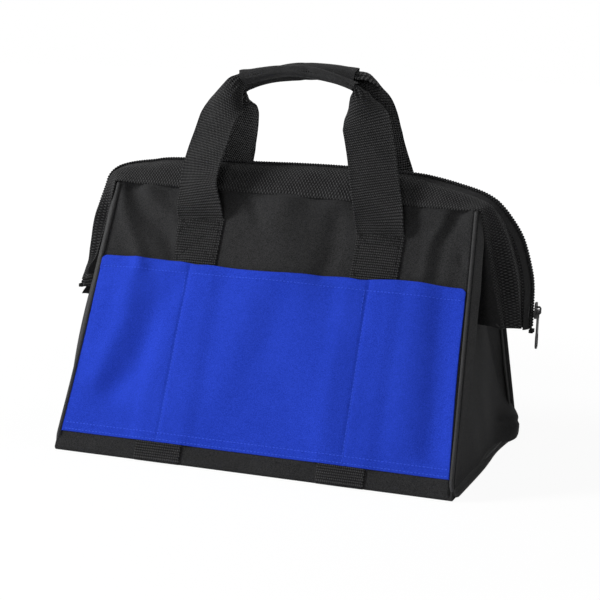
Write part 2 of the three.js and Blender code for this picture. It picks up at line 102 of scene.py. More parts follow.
# Corner bindings as they lie in the photo: a thin round ridge and a tape that stands out behind it
RIDGE_RADIUS = 1.5
RIDGE_INSET = 3.4
FLANGE_WIDTH = 8.6


# Small geometry helpers
def unit(vectors):
    return vectors / np.maximum(np.linalg.norm(vectors, axis=-1, keepdims=True), 1e-9)


def smooth_step(low, high, value):
    share = np.clip((value - low) / (high - low), 0, 1)
    return share * share * (3 - 2 * share)


def bump(value, width):
    return np.exp(-((value / width) ** 2))


def points_of(*parts):
    return np.stack(np.broadcast_arrays(*[np.asarray(part, float) for part in parts]), -1)


def smooth_curve(knots, per_span=12):
    """A curve through the knots (Catmull-Rom)."""
    knots = np.asarray(knots, float)
    padded = np.vstack([2 * knots[0] - knots[1], knots, 2 * knots[-1] - knots[-2]])
    found = []
    for before, start, end, after in zip(padded, padded[1:], padded[2:], padded[3:]):
        t = np.arange(per_span)[:, None] / per_span
        cubic = 3 * start - before - 3 * end + after
        square = 2 * before - 5 * start + 4 * end - after
        found.append(start + 0.5 * t * (end - before + t * (square + t * cubic)))
    return np.vstack([*found, knots[-1:]])


def lengths_along(path):
    steps = np.linalg.norm(np.diff(path, axis=0), axis=1)
    return np.concatenate([[0], np.cumsum(steps)])


def path_at(path, places):
    """Points of a path at the given lengths along it."""
    run = lengths_along(path)
    return np.stack([np.interp(places, run, path[:, k]) for k in range(path.shape[1])], -1)


def evenly(path, spacing):
    """The same path with evenly spaced points."""
    length = lengths_along(path)[-1]
    return path_at(path, np.linspace(0, length, max(2, int(round(length / spacing)) + 1)))


def outward_normals(grid, middle=(0, 0, 100)):
    """Normals of a grid of points, turned to look away from the middle."""
    normal = unit(np.cross(np.gradient(grid, axis=1), np.gradient(grid, axis=0)))
    return -normal if np.sum(normal * (grid - np.array(middle, float))) < 0 else normal


def cloth_lengths(grid):
    """Texture places in millimetres, measured along the cloth."""
    across = np.linalg.norm(np.diff(grid, axis=1), axis=2)
    along = np.linalg.norm(np.diff(grid, axis=0), axis=2)
    u = np.concatenate([np.zeros((len(grid), 1)), np.cumsum(across, axis=1)], axis=1)
    u = u - u[:, -1:] / 2
    v = np.concatenate([[0], np.cumsum(along.mean(axis=1))])
    return points_of(u, v[:, None])


# Making meshes
def add_mesh(name, points, faces, material, places=None, sharp=50):
    """An object from points in millimetres; places are texture coordinates in millimetres."""
    mesh = bpy.data.meshes.new(name)
    mesh.from_pydata((np.asarray(points, float) * MM).tolist(), [], faces)
    if places is not None:
        corners = np.zeros(len(mesh.loops), int)
        mesh.loops.foreach_get("vertex_index", corners)
        layer = mesh.uv_layers.new(name="Weave")
        layer.uv.foreach_set("vector", (np.asarray(places)[corners] * MM).astype(np.float32).ravel())
    work = bmesh.new()
    work.from_mesh(mesh)
    bmesh.ops.recalc_face_normals(work, faces=work.faces)
    work.to_mesh(mesh)
    work.free()
    mesh.shade_smooth()
    mesh.set_sharp_from_angle(angle=math.radians(sharp))
    mesh.materials.append(material)
    made = bpy.data.objects.new(name, mesh)
    bpy.context.scene.collection.objects.link(made)
    return made


def grid_faces(rows, columns, start=0):
    i, j = np.meshgrid(np.arange(rows - 1), np.arange(columns - 1), indexing="ij")
    corner = (start + i * columns + j).ravel()
    return np.stack([corner, corner + columns, corner + columns + 1, corner + 1], -1).tolist()


def rim_places(rows, columns):
    """Row and column of each point round the edge of a grid, in order."""
    row, column = np.arange(rows - 1), np.arange(columns - 1)
    i = np.concatenate([0 * column, row, 0 * column + rows - 1, rows - 1 - row])
    j = np.concatenate([column, 0 * row + columns - 1, columns - 1 - column, 0 * row])
    return i, j


def sheet(name, face, thickness, material, middle=(0, 0, 100), places=None):
    """A closed piece of cloth with soft edges, whose outer face is a grid of points.

    Its outer face looks away from the middle."""
    rows, columns = face.shape[:2]
    inner = face - thickness * outward_normals(face, middle)
    if places is None:
        places = cloth_lengths(face)
    i, j = rim_places(rows, columns)
    along, across = unit(np.gradient(face, axis=0)), unit(np.gradient(face, axis=1))
    way_i = np.where(i == 0, -1, np.where(i == rows - 1, 1, 0))[:, None]
    way_j = np.where(j == 0, -1, np.where(j == columns - 1, 1, 0))[:, None]
    way_out = unit(way_i * along[i, j] + way_j * across[i, j])
    rim = (face[i, j] + inner[i, j]) / 2 + 0.4 * thickness * way_out
    points = np.vstack([face.reshape(-1, 3), inner.reshape(-1, 3), rim])
    at = np.vstack([places.reshape(-1, 2), places.reshape(-1, 2), places[i, j]])
    count = rows * columns
    faces = grid_faces(rows, columns) + [f[::-1] for f in grid_faces(rows, columns, count)]
    outer_loop = i * columns + j
    for k in range(len(i)):
        after = (k + 1) % len(i)
        a, b = int(outer_loop[k]), int(outer_loop[after])
        c, d = 2 * count + k, 2 * count + after
        faces += [[a, b, d, c], [c, d, count + b, count + a]]
    return add_mesh(name, points, faces, material, at)


def ring_faces(count, around):
    """Faces of a closed solid made of rings of points."""
    faces = []
    for i in range(count - 1):
        for j in range(around):
            a, b = i * around + j, i * around + (j + 1) % around
            faces.append([a, b, b + around, a + around])
    last = (count - 1) * around
    return faces + [list(range(around)), list(range(last, last + around))]


def tube(name, rings, material, sharp=50):
    """A closed solid from rings of points, each ring closed on itself."""
    closed = np.concatenate([rings, rings[:, :1]], axis=1)
    places = cloth_lengths(closed)[:, :-1].reshape(-1, 2)
    return add_mesh(name, rings.reshape(-1, 3), ring_faces(*rings.shape[:2]), material, places, sharp)


def repeated(name, shape_points, shape_faces, origins, axes, material):
    """One mesh of many copies of a small shape: axes are three unit vectors for each copy."""
    shape = np.asarray(shape_points, float)
    points = origins[:, None, :] + np.einsum("pk,nkc->npc", shape, axes)
    faces = []
    for n in range(len(origins)):
        start = n * len(shape)
        faces += [[start + k for k in face] for face in shape_faces]
    return add_mesh(name, points.reshape(-1, 3), faces, material)


def capsule(length, half_width, half_height, around=6, stations=(0.45, 0.85, 1.0, 1.0, 0.85, 0.45)):
    """A small rounded bar along its first axis: its points and faces."""
    at = np.linspace(-1, 1, len(stations))
    at = np.sign(at) * np.abs(at) ** 0.6 * length / 2
    turn = 2 * math.pi * np.arange(around) / around
    points = []
    for x, size in zip(at, stations):
        points += [[x, size * half_width * math.cos(a), size * half_height * math.sin(a)] for a in turn]
    return points, ring_faces(len(stations), around)


# Materials
class Nodes:
    """The nodes of a material or the world, and short ways to add more."""

    def __init__(self, owner):
        owner.use_nodes = True
        self.owner = owner
        self.tree = owner.node_tree
        self.surface = self.tree.nodes.get("Principled BSDF")

    def add(self, kind, inputs=None, **settings):
        node = self.tree.nodes.new(kind)
        for name, value in settings.items():
            setattr(node, name, value)
        return self.join(node, inputs or {})

    def join(self, node, inputs):
        """Gives a node's inputs their values, or links them to the sockets given."""
        for name, value in inputs.items():
            if isinstance(value, bpy.types.NodeSocket):
                self.tree.links.new(value, node.inputs[name])
            else:
                node.inputs[name].default_value = value
        return node

    def math(self, operation, first, second=0.0):
        return self.add("ShaderNodeMath", {0: first, 1: second}, operation=operation).outputs[0]

    def places(self):
        """Texture places in metres along the cloth, as two sockets."""
        split = self.add("ShaderNodeSeparateXYZ", {0: self.add("ShaderNodeUVMap", uv_map="Weave").outputs[0]})
        return split.outputs[0], split.outputs[1]

    def noise(self, scale, detail=3.0, roughness=0.55):
        where = self.add("ShaderNodeTexCoord").outputs["Object"]
        inputs = {"Vector": where, "Scale": scale, "Detail": detail, "Roughness": roughness}
        return self.add("ShaderNodeTexNoise", inputs).outputs[0]

    def wave(self, place, pitch, phase=0.0):
        """A cosine wave from 0 to 1 along a texture place."""
        turns = self.math("MULTIPLY", place, 2 * math.pi / (pitch * MM))
        return self.plus_half(self.math("COSINE", self.math("ADD", turns, phase)), 0.5)

    def plus_half(self, value, share):
        """The value times a share, plus a half, which is the node's own third value."""
        return self.math("MULTIPLY_ADD", value, share)

    def shade(self, parts):
        """A share round a half, from parts with their mean and weight."""
        total = 0.5
        for part, mean, weight in parts:
            total = self.math("ADD", total, self.math("MULTIPLY", self.math("SUBTRACT", part, mean), weight))
        return total

    def mix(self, share, dark, light):
        inputs = {0: share, 6: (*dark, 1), 7: (*light, 1)}
        return self.add("ShaderNodeMix", inputs, data_type="RGBA", clamp_factor=True).outputs[2]

    def seen_as_background(self):
        """1 for rays that show a background: from the camera, in gloss and through glass."""
        rays = self.add("ShaderNodeLightPath").outputs
        seen = self.math("MAXIMUM", rays["Is Camera Ray"], rays["Is Glossy Ray"])
        return self.math("MAXIMUM", seen, rays["Is Transmission Ray"])

    def finish(self, color, height, distance, strength, roughness, specular, sheen=0.0):
        """Joins colour and relief to the surface, and sets what is the same all over it."""
        relief = self.add("ShaderNodeBump", {"Height": height, "Distance": distance, "Strength": strength})
        inputs = {"Base Color": color, "Normal": relief.outputs[0], "Roughness": roughness}
        self.join(self.surface, {**inputs, "Specular IOR Level": specular, "Sheen Weight": sheen})
        return self.owner


def new_material(name):
    return Nodes(bpy.data.materials.new(name))


def raised_wave(nodes, place, pitch, phase=0.0):
    """A cosine wave from a half to one and a half."""
    return nodes.math("ADD", nodes.wave(place, pitch, phase), 0.5)


def cloth(name, dark, light, pitch, sheen, grain=1.0):
    """Plain weave: crossing threads, painted lighter where they cross and with painted shade between them, a
    soft mottle of the dye and a slight sheen.
    """
    n = new_material(name)
    u, v = n.places()
    threads = n.math("MULTIPLY", raised_wave(n, u, pitch), raised_wave(n, v, pitch))
    crossing = n.math("MULTIPLY", raised_wave(n, u, pitch, math.pi), raised_wave(n, v, pitch, math.pi))
    weave = n.math("ADD", threads, crossing)
    fuzz = n.noise(1500, 2.0, 0.7)
    mottle = n.noise(110, 4.0, 0.6)
    wide = n.noise(18, 2.0)
    # The weave's part of the colour is painted shade between the threads and painted light on their crossings
    parts = ((fuzz, 0.5, 3.0 * grain), (mottle, 0.5, 0.25), (wide, 0.5, 0.3), (weave, 2.0, 0.3))
    color = n.mix(n.shade(parts), dark, light)
    relief = n.math("ADD", n.math("MULTIPLY", weave, 0.6), n.math("MULTIPLY", fuzz, 0.9))
    return n.finish(color, relief, 0.0003, 0.8, roughness=0.85, specular=0.06, sheen=sheen)


def finish_webbing(n, height, dark, light, mean, weights, wide_scale, fuzz_height, depth):
    """Colour and relief of webbing from the height of its weave: its hollows get painted shade and its raised
    floats are painted light.

    The weights are those of the weave, its fuzz and its mottle in the colour."""
    fuzz = n.noise(1100, 2.0, 0.7)
    wide = n.noise(wide_scale, 3.0)
    # Painted shade and highlight: the colour darkens in the weave's hollows and lightens on its raised parts
    color = n.mix(n.shade(zip((height, fuzz, wide), (mean, 0.5, 0.5), weights)), dark, light)
    relief = n.math("ADD", height, n.math("MULTIPLY", fuzz, fuzz_height))
    return n.finish(color, relief, depth, 1.0, roughness=0.75, specular=0.12, sheen=0.04)


def webbing(name, dark, light, rib=1.95, dash=1.5):
    """Webbing with ribs across it, each rib broken into short floats."""
    n = new_material(name)
    u, v = n.places()
    ribs = raised_wave(n, v, rib)
    stagger = n.math("MULTIPLY", v, math.pi / (rib * MM))
    turns = n.math("MULTIPLY", u, 2 * math.pi / (dash * MM))
    floats = n.plus_half(n.math("COSINE", n.math("ADD", turns, stagger)), 0.5)
    height = n.math("MULTIPLY", ribs, n.plus_half(n.math("ADD", floats, 0.5), 0.8))
    return finish_webbing(n, height, dark, light, 1.3, (0.9, 1.2, 0.6), 60, 0.3, 0.0008)


def basket(name, dark, light, pitch=2.5, row=1.9):
    """Coarse basket weave of the mouth band: raised dots in rows, each row half a pitch along. The dots are
    painted light and the hollows between them get painted shade.
    """
    n = new_material(name)
    u, v = n.places()
    slant = n.math("MULTIPLY", u, pitch / (2 * row))
    rising, falling = (n.wave(n.math(way, v, slant), pitch) for way in ("ADD", "SUBTRACT"))
    height = n.math("MULTIPLY", rising, falling)
    # The raised dots are painted light and the troughs between them get painted shade
    return finish_webbing(n, height, dark, light, 0.3, (1.5, 0.8, 0.5), 50, 0.25, 0.0011)


def satin(name, dark, light, scale, roughness, specular):
    """A smooth hard finish with fine handling marks."""
    n = new_material(name)
    color = n.mix(n.noise(scale, 4.0, 0.65), dark, light)
    return n.finish(color, n.noise(scale * 4, 3.0), 0.00004, 0.25, roughness, specular)


BLACK_CLOTH = cloth("BlackCloth", (0.011, 0.011, 0.0115), (0.042, 0.042, 0.043), 0.9, 0.03)
BLUE_CLOTH = cloth("BlueCloth", (0.009, 0.034, 0.40), (0.028, 0.073, 0.65), 0.95, 0.02, 0.8)
BINDING_CLOTH = cloth("BindingCloth", (0.03, 0.03, 0.0305), (0.08, 0.08, 0.081), 0.6, 0.04, 0.6)
SLEEVE_CLOTH = cloth("SleeveCloth", (0.014, 0.014, 0.0145), (0.046, 0.046, 0.047), 0.9, 0.04, 0.9)
TAPE_CLOTH = cloth("TapeCloth", (0.016, 0.016, 0.0165), (0.042, 0.042, 0.043), 0.5, 0.03, 0.6)
# The dark colour of both webbings is painted shade in the hollows of their weave
STRAP_WEB = webbing("StrapWebbing", (0.002, 0.002, 0.0024), (0.056, 0.056, 0.057))
BAND_WEB = basket("BandWebbing", (0.002, 0.002, 0.0024), (0.06, 0.06, 0.061))
COIL_NYLON = satin("CoilNylon", (0.018, 0.018, 0.019), (0.04, 0.04, 0.042), 900, 0.8, 0.03)
BLACK_METAL = satin("BlackMetal", (0.022, 0.022, 0.023), (0.045, 0.045, 0.047), 500, 0.45, 0.16)
STOP_PLASTIC = satin("StopPlastic", (0.008, 0.008, 0.008), (0.018, 0.018, 0.018), 900, 0.8, 0.03)
BOARD = satin("Board", (0.012, 0.012, 0.012), (0.024, 0.024, 0.025), 260, 0.6, 0.3)
BLACK_THREAD = satin("BlackThread", (0.008, 0.008, 0.008), (0.02, 0.02, 0.02), 1500, 0.8, 0.05)
BLUE_THREAD = satin("BlueThread", (0.03, 0.08, 0.62), (0.055, 0.13, 0.80), 1500, 0.8, 0.05)


# The wall of one side, which sags and creases
def end_x(z):
    return BASE_LENGTH / 2 - END_FALL * z / SEAM_HEIGHT


def wall_half_length(up):
    return BASE_LENGTH / 2 - END_FALL * up / WALL_SLANT


# Soft folds of the front wall: points of the crest (along X, up the slope), half width, height
WALL_FOLDS = [
    ([(-145, 212), (-131, 184), (-119, 165), (-112, 150)], 6, 3.4),
    ([(-133, 213), (-123, 197), (-113, 186), (-98, 175), (-87, 160)], 7, -4.0),
    ([(-119, 212), (-104, 197), (-90, 184), (-84, 165)], 5, 1.8),
    ([(-36, 213), (-30, 203), (-22, 192)], 4, -1.9),
    ([(-6, 198), (2, 178), (8, 156)], 24, 5.5),
    ([(37, 200), (38, 172), (35, 156)], 7, -2.6),
    ([(121, 214), (118, 200), (112, 186), (111, 162)], 4, 1.8),
    ([(131, 214), (128, 202), (122, 187), (121, 162)], 4.5, -2.2),
    ([(137, 178), (140, 173)], 3, -1.6),
    ([(-116, 138), (-118, 105), (-125, 81), (-131, 62)], 10, 3.0),
    ([(-84, 134), (-89, 120), (-101, 77), (-110, 60), (-119, 50)], 12, -3.8),
    ([(-18, 150), (-20, 100), (-30, 60)], 14, 1.6),
    ([(10, 142), (2, 100)], 13, -1.4),
    ([(44, 84), (52, 38)], 18, 2.2),
    ([(108, 144), (110, 90), (114, 42)], 15, 2.0),
    ([(127, 150), (130, 110), (133, 70), (135, 34)], 8, -1.8),
]
BELLY = 4.0
SEAM_GROOVE = 1.3
DIVIDER_GROOVE = 0.45
# How far the cloth climbs on to the corner's ridge at the right edge of the front
EDGE_RISE = 2.2
# How far the front's foot stands forward of the base's edge, and how much more at its left corner
FOOT_FORWARD = 1.6
CORNER_FORWARD = 0.6
# Bend of the cloth at the foot of a wall
FOOT_RADIUS = 2.2
# Puckers under the mouth band: pitch, height, how far they reach down the wall
PUCKERS = (38, 2.0, 15)


def fold_height(x, up, knots, width, height):
    """A smooth fold whose crest runs through the knots."""
    x, up = np.broadcast_arrays(x, up)
    nearest = np.full(x.shape, np.inf)
    for crest_x, crest_up in smooth_curve(knots, 6):
        nearest = np.minimum(nearest, (x - crest_x) ** 2 + (up - crest_up) ** 2)
    return height * np.exp(-nearest / width**2)


def pocket_rise(up):
    """0 at the foot of the pocket and below it, 1 at its top and above."""
    return np.clip((up - POCKET_BOTTOM) / (POCKET_TOP - POCKET_BOTTOM), 0, 1)


def divider_x(side, hand, up):
    """The stitched line between two compartments; the front's left one leans a little."""
    foot, lean = (74, 3) if hand == side else (72, 0)
    return hand * (foot - lean * pocket_rise(up))


def strap_middle(side, hand, up):
    """The strap's middle line. The front's left one leans in and the right one drifts out."""
    if hand == side:
        return hand * (72.4 - 3.4 * np.clip(up / STITCH_HEIGHT, 0, 1))
    return hand * (STRAP_MIDDLE + 2.4 * smooth_step(60, STITCH_HEIGHT, up))


def wall_sag(side, x, up):
    """How far the cloth stands out from the flat wall. The back is the front turned round."""
    x = -side * np.asarray(x, float)
    up = np.asarray(up, float)
    x, up = np.broadcast_arrays(x, up)
    across = np.clip(x / wall_half_length(up), -1, 1)
    rise = np.clip(up / WALL_SLANT, 0, 1)
    sag = BELLY * np.cos(across * math.pi / 2) * np.sin(rise * math.pi)
    for fold in WALL_FOLDS:
        sag = sag + fold_height(x, up, *fold)
    sag = sag + 0.3 * np.sin(x / 11 + up / 17) * np.sin(up / 13 - x / 29)
    pitch, height, reach = PUCKERS
    under_band = np.clip(WALL_SLANT - up, 0, None)
    sag = sag + height * np.cos((x + 3) * 2 * math.pi / pitch) * np.exp(-under_band / reach)
    beside = wall_half_length(up) - np.abs(x)
    held = smooth_step(0, 9, np.minimum(beside - 4, up - 6)) * smooth_step(0, 5, under_band)
    at_right = smooth_step(0, 60, x)
    sag = sag * held + EDGE_RISE * at_right * (1 - smooth_step(4, 16, beside)) * smooth_step(4, 30, up)
    sag = sag - (0.2 + 0.8 * at_right) * SEAM_GROOVE * bump(beside - 4.4, 0.9)
    sag = sag - 0.8 * bump(under_band - 3.4, 1.2)
    on_pocket = smooth_step(POCKET_BOTTOM, POCKET_BOTTOM + 3, up)
    on_pocket = on_pocket * (1 - smooth_step(POCKET_TOP - 3, POCKET_TOP, up))
    for hand in (LEFT, RIGHT):
        sag = sag - DIVIDER_GROOVE * bump(x - divider_x(FRONT, hand, up), 1.5) * on_pocket
    return sag


def wall_point(side, x, up, out):
    """A place on the wall: along X, up the slope and out from its cloth. It rounds under at the foot."""
    x, up, out = np.broadcast_arrays(*[np.asarray(part, float) for part in (x, up, out)])
    away = out + wall_sag(side, x, up)
    inner = math.pi / 2 - WALL_LEAN
    tangent = FOOT_RADIUS / math.tan(inner / 2)
    centre_y = BASE_DEPTH / 2 - tangent
    turn = np.clip((tangent - up) / FOOT_RADIUS, 0, math.pi - inner)
    beyond = np.clip(tangent - up - FOOT_RADIUS * (math.pi - inner), 0, None)
    slope = np.maximum(up, tangent)
    y = BASE_DEPTH / 2 - slope * math.sin(WALL_LEAN) + away * math.cos(WALL_LEAN)
    z = slope * math.cos(WALL_LEAN) + away * math.sin(WALL_LEAN)
    angle = WALL_LEAN - turn
    under = up < tangent
    y = np.where(under, centre_y + (FOOT_RADIUS + out) * np.cos(angle) - beyond, y)
    # What lies on the cloth flattens out under the foot, so that it stays above the floor
    below = FOOT_RADIUS + out * (1 - smooth_step(0, 0.9, turn))
    z = np.where(under, FOOT_RADIUS + below * np.sin(angle), z)
    return settle(points_of(x, side * y, z))


def settle(points):
    """The foot of the front stands forward a little, most at its left corner."""
    x, y, z = np.moveaxis(points, -1, 0)
    forward = FOOT_FORWARD + CORNER_FORWARD * smooth_step(40, 150, -x)
    moved = points.copy()
    moved[..., 1] -= forward * smooth_step(40, 100, -y) * (1 - smooth_step(2, 60, z))
    return moved


def wall_normal(side):
    return np.array([0, side * math.cos(WALL_LEAN), math.sin(WALL_LEAN)])


def blend_foot(piece):
    """Bakes the placement of a wall's cloth into its mesh."""
    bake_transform(piece)


def blend_ear(piece):
    """Bakes the placement of an ear's cloth into its mesh."""
    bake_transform(piece)


def columns_across(half, count, centres=(), reach=5, extra=9):
    """Places across a piece from -1 to 1, closer together at its ends and near the given places."""
    even = np.sin(np.linspace(-1, 1, count) * math.pi / 2)
    more = [np.linspace(centre - reach, centre + reach, extra) / half for centre in centres]
    return np.unique(np.round(np.concatenate([even, *more]), 5))


def make_panel(side):
    name = SIDE_NAMES[side]
    up = np.concatenate([np.arange(-9, 14, 1.5), np.linspace(14, WALL_SLANT - 0.5, 90)])
    across = columns_across(BASE_LENGTH / 2, 161)
    x = across[None, :] * (wall_half_length(np.maximum(up, 0))[:, None] - RIDGE_INSET + 0.6)
    piece = sheet(f"{name}_panel_cloth", wall_point(side, x, up[:, None], -0.1), WALL_THICKNESS, BLACK_CLOTH)
    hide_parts(f"{name}_panel")
    blend_foot(piece)


# How far the pocket climbs over the straps, and how far its compartments stand off the wall at their top
POCKET_CLIMB = 1.7
POCKET_GAPE = 2.2
POCKET_HALF_LENGTH = 148


def pocket_lift(side, x, up):
    """Height of the pocket's outer face over the wall where it climbs over the straps."""
    beside = np.minimum(*[np.abs(x - strap_middle(side, hand, up)) for hand in (LEFT, RIGHT)])
    over_strap = 1 - smooth_step(WEB_WIDTH / 2 - 2, WEB_WIDTH / 2 + 11, beside)
    return POCKET_THICKNESS + POCKET_CLIMB * over_strap


def pocket_gape(side, x, up):
    """Each compartment stands off the wall a little at its top and is drawn in at its stitching."""
    dividers = [divider_x(side, hand, up) for hand in (LEFT, RIGHT)]
    stops = [-POCKET_HALF_LENGTH, *dividers, POCKET_HALF_LENGTH]
    gape = np.zeros(np.broadcast(x, up).shape)
    for low, high in zip(stops, stops[1:]):
        share = np.clip((x - low) / (high - low), 0, 1)
        gape = gape + (4 * share * (1 - share)) ** 0.6
    rise = smooth_step(POCKET_BOTTOM, POCKET_TOP, up)
    return POCKET_GAPE * gape * rise


def pocket_out(side, x, up):
    return pocket_lift(side, x, up) + pocket_gape(side, x, up)


def pocket_edge(side, x):
    """Top edge of the pocket, which waves a little between its seams."""
    x = -side * x
    raised = 0.5 + 1.7 * bump(x - 112, 24)
    return POCKET_TOP + raised - bump(np.abs(x) - STRAP_MIDDLE, 9) - 2.8 * bump(x + 12, 48)


def pocket_half(side, up, hand):
    """Half the pocket's width: its edge is drawn in at the middle height, most at the front's right."""
    waist, inset = (POCKET_WAIST, POCKET_INSET) if hand == -side else (0.3, POCKET_INSET - 0.9)
    return wall_half_length(up) - inset - waist * np.sin(pocket_rise(up) * math.pi)


def make_pocket(side):
    name = SIDE_NAMES[side]
    rise = np.linspace(0, 1, 76)[:, None]
    half = wall_half_length(POCKET_BOTTOM)
    across = columns_across(half, 121, (-STRAP_MIDDLE, STRAP_MIDDLE), 8, 17)[None, :]
    edge = pocket_edge(side, across * half)
    up = POCKET_BOTTOM + rise * (edge - POCKET_BOTTOM)
    x = across * np.where(across > 0, pocket_half(side, up, RIGHT), pocket_half(side, up, LEFT))
    # Rounded upper corners
    corner = np.clip((np.abs(across) - 0.972) / 0.028, 0, 1) ** 2
    up = up - 2.4 * corner * smooth_step(0.85, 1, rise)
    hem = HEM_THICKNESS * smooth_step(POCKET_TOP - 9.5, POCKET_TOP - 8, up)
    face = wall_point(side, x, up, pocket_out(side, x, up) + hem)
    piece = sheet(f"{name}_pocket_cloth", face, POCKET_THICKNESS, BLUE_CLOTH)
    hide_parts(f"{name}_pocket")
    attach(piece, f"{name}_wall")


def make_strap(side, hand):
    name = f"{SIDE_NAMES[side]}_{HAND_NAMES[hand]}_strap"
    up = np.concatenate([np.arange(-7, 14, 1.5), np.linspace(14, STITCH_HEIGHT + 0.8, 90)])[:, None]
    across = columns_across(WEB_WIDTH / 2, 15, (0,), 3, 7)[None, :]
    x = strap_middle(side, hand, up) + across * WEB_WIDTH / 2
    crown = 0.25 * (1 - across**2)
    face = wall_point(side, x, up, STRAP_THICKNESS - 0.1 + crown)
    places = points_of(across * WEB_WIDTH / 2, up - STITCH_HEIGHT)
    piece = sheet(f"{name}_web", face, STRAP_THICKNESS, STRAP_WEB, places=places)
    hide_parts(name)
    blend_foot(piece)


# Stitching: rows of short threads that lie on the cloth
STITCH_SHAPE = capsule(1.8, 0.3, 0.22)
STITCH_PITCH = 2.8
STITCH_LIFT = 0.04


def stitch_row(path):
    """Middles and directions of the stitches along a path."""
    places = np.arange(STITCH_PITCH / 2, lengths_along(path)[-1], STITCH_PITCH)
    return path_at(path, places), unit(path_at(path, places + 0.6) - path_at(path, places - 0.6))


def add_stitches(side, name, rows, material):
    at, along = (np.vstack(parts) for parts in zip(*[stitch_row(row) for row in rows]))
    beside = unit(np.cross(wall_normal(side), along))
    axes = np.stack([along, beside, unit(np.cross(along, beside))], 1)
    piece = repeated(f"{SIDE_NAMES[side]}_{name}", *STITCH_SHAPE, at, axes, material)
    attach(piece, f"{SIDE_NAMES[side]}_wall")


def wall_row(side, start, end, lift, on_pocket=False):
    """A straight row on the wall or the pocket between two places (along X, up the slope)."""
    share = np.linspace(0, 1, 80)
    x = start[0] + share * (end[0] - start[0])
    up = start[1] + share * (end[1] - start[1])
    if on_pocket:
        lift = lift + pocket_out(side, x, up)
    return wall_point(side, x, up, lift)


def make_pocket_stitches(side):
    lines = []
    for edge, level, lift in (
        (POCKET_TOP, POCKET_TOP - 8, HEM_THICKNESS),
        (POCKET_BOTTOM, POCKET_BOTTOM + 1.6, STITCH_LIFT),
        (POCKET_BOTTOM, POCKET_BOTTOM + 6.6, STITCH_LIFT),
    ):
        half = wall_half_length(edge) - POCKET_INSET - 2
        lines.append(((-half, level), (half, level), lift))
    for hand in (LEFT, RIGHT):
        low, high = POCKET_BOTTOM + 2, POCKET_TOP - 1.5
        start, end = divider_x(side, hand, low), divider_x(side, hand, high)
        lines.append(((start, low), (end, high), STITCH_LIFT))
        lines.append(((end - 2.5, high - 25), (end - 2.5, high), STITCH_LIFT))
    rows = [wall_row(side, *line, on_pocket=True) for line in lines]
    add_stitches(side, "pocket_stitches", rows, BLUE_THREAD)


def make_strap_stitches(side):
    """A crossed box on each strap above the pocket, with more rows along its top."""
    lines = []
    low, high = POCKET_TOP + 3, STITCH_HEIGHT - 2
    for hand in (LEFT, RIGHT):
        middle = float(strap_middle(side, hand, STITCH_HEIGHT))
        foot = float(strap_middle(side, hand, low))
        half = WEB_WIDTH / 2 - 2.5
        corners = [(foot - half, low), (foot + half, low), (middle + half, high), (middle - half, high)]
        lines += [(corners[a], corners[b]) for a, b in ((0, 1), (1, 2), (2, 3), (3, 0), (0, 2), (1, 3))]
        lines += [((middle - half, high - down), (middle + half, high - down)) for down in (2.2, 6)]
    rows = [wall_row(side, start, end, STRAP_THICKNESS + 0.1) for start, end in lines]
    add_stitches(side, "strap_stitches", rows, BLACK_THREAD)


# The mouth: the zipper's line (along X, up Z) from the foot of the right ear to that of the left one
ZIP_KNOTS = [
    (183.6, 110), (183.6, 128), (183.2, 142), (180.9, 155), (173.8, 176.5), (163.6, 191.8), (153, 202.6),
    (141, 208.6), (124, 213), (106, 216.6), (87, 218.6), (36, 219.6), (-3, 219), (-41, 217.6), (-104, 216),
    (-125, 213), (-142, 210), (-153.5, 206), (-160.6, 199.5), (-164, 190), (-169.3, 174.5), (-172.4, 160),
    (-173.6, 144), (-175.2, 130), (-179.2, 120.5), (-183.6, 110),
]


def mouth_lines(spacing=1.6):
    """Matching points of the mouth's front half, from the foot of the right ear to that of the left one.

    Gives the crease or seam line with Y as a distance from the middle plane, the zipper line
    (along X, up Z), the zipper's outward direction and the length run along the zipper."""
    zipper = evenly(smooth_curve(ZIP_KNOTS), spacing)
    run = lengths_along(zipper)
    x, z = zipper.T
    foot = np.array([end_x(EAR_BOTTOM) + FOLD_STAND_OUT, FOLD_HALF_DEPTH, EAR_BOTTOM])
    corner = np.array([end_x(SEAM_HEIGHT), SEAM_DEPTH / 2, SEAM_HEIGHT])
    mirror = np.array([-1, 1, 1])
    path = np.array([foot, corner, corner * mirror, foot * mirror])
    stops = lengths_along(path)
    middle = stops[-1] / 2
    straight_top = EAR_BOTTOM + ZIP_STRAIGHT
    turns = (z > straight_top, x < ZIP_LEVEL, x < -ZIP_LEVEL, (x < 0) & (z < straight_top))
    on_zipper = [0, *[run[np.argmax(passed)] for passed in turns], run[-1]]
    on_fold = [0, ZIP_STRAIGHT, middle - ZIP_LEVEL, middle + ZIP_LEVEL, stops[-1] - ZIP_STRAIGHT, stops[-1]]
    fold_run = np.interp(run, on_zipper, on_fold)
    fold = path_at(path, fold_run)
    tangent = unit(np.gradient(zipper, axis=0))
    out = np.stack([tangent[:, 1], -tangent[:, 0]], -1)
    return fold, zipper, out, run


FOLD_LINE, ZIP_LINE, ZIP_OUT, ZIP_RUN = mouth_lines()

# The tape slopes in from the teeth to the band on the ears; on top the band reaches nearly to the teeth
ON_EAR = smooth_step(70, 128, ZIP_LINE[:, 0]) + smooth_step(140, 162, -ZIP_LINE[:, 0])
TAPE_SLOPE = 0.5 + 2.4 * ON_EAR[:, None]
BAND_EDGE = 4.4 + 2.64 * ON_EAR
# The right ear's foot hangs a little higher than the zipper's end. At the left ear the front foot is
# lifted at its crease and the back foot hangs lower.
RIGHT_FOOT_LIFT = 3.2
LEFT_FOOT_LIFT = {FRONT: 14, BACK: -11}
LEFT_FOOT_FLARE = 1.8


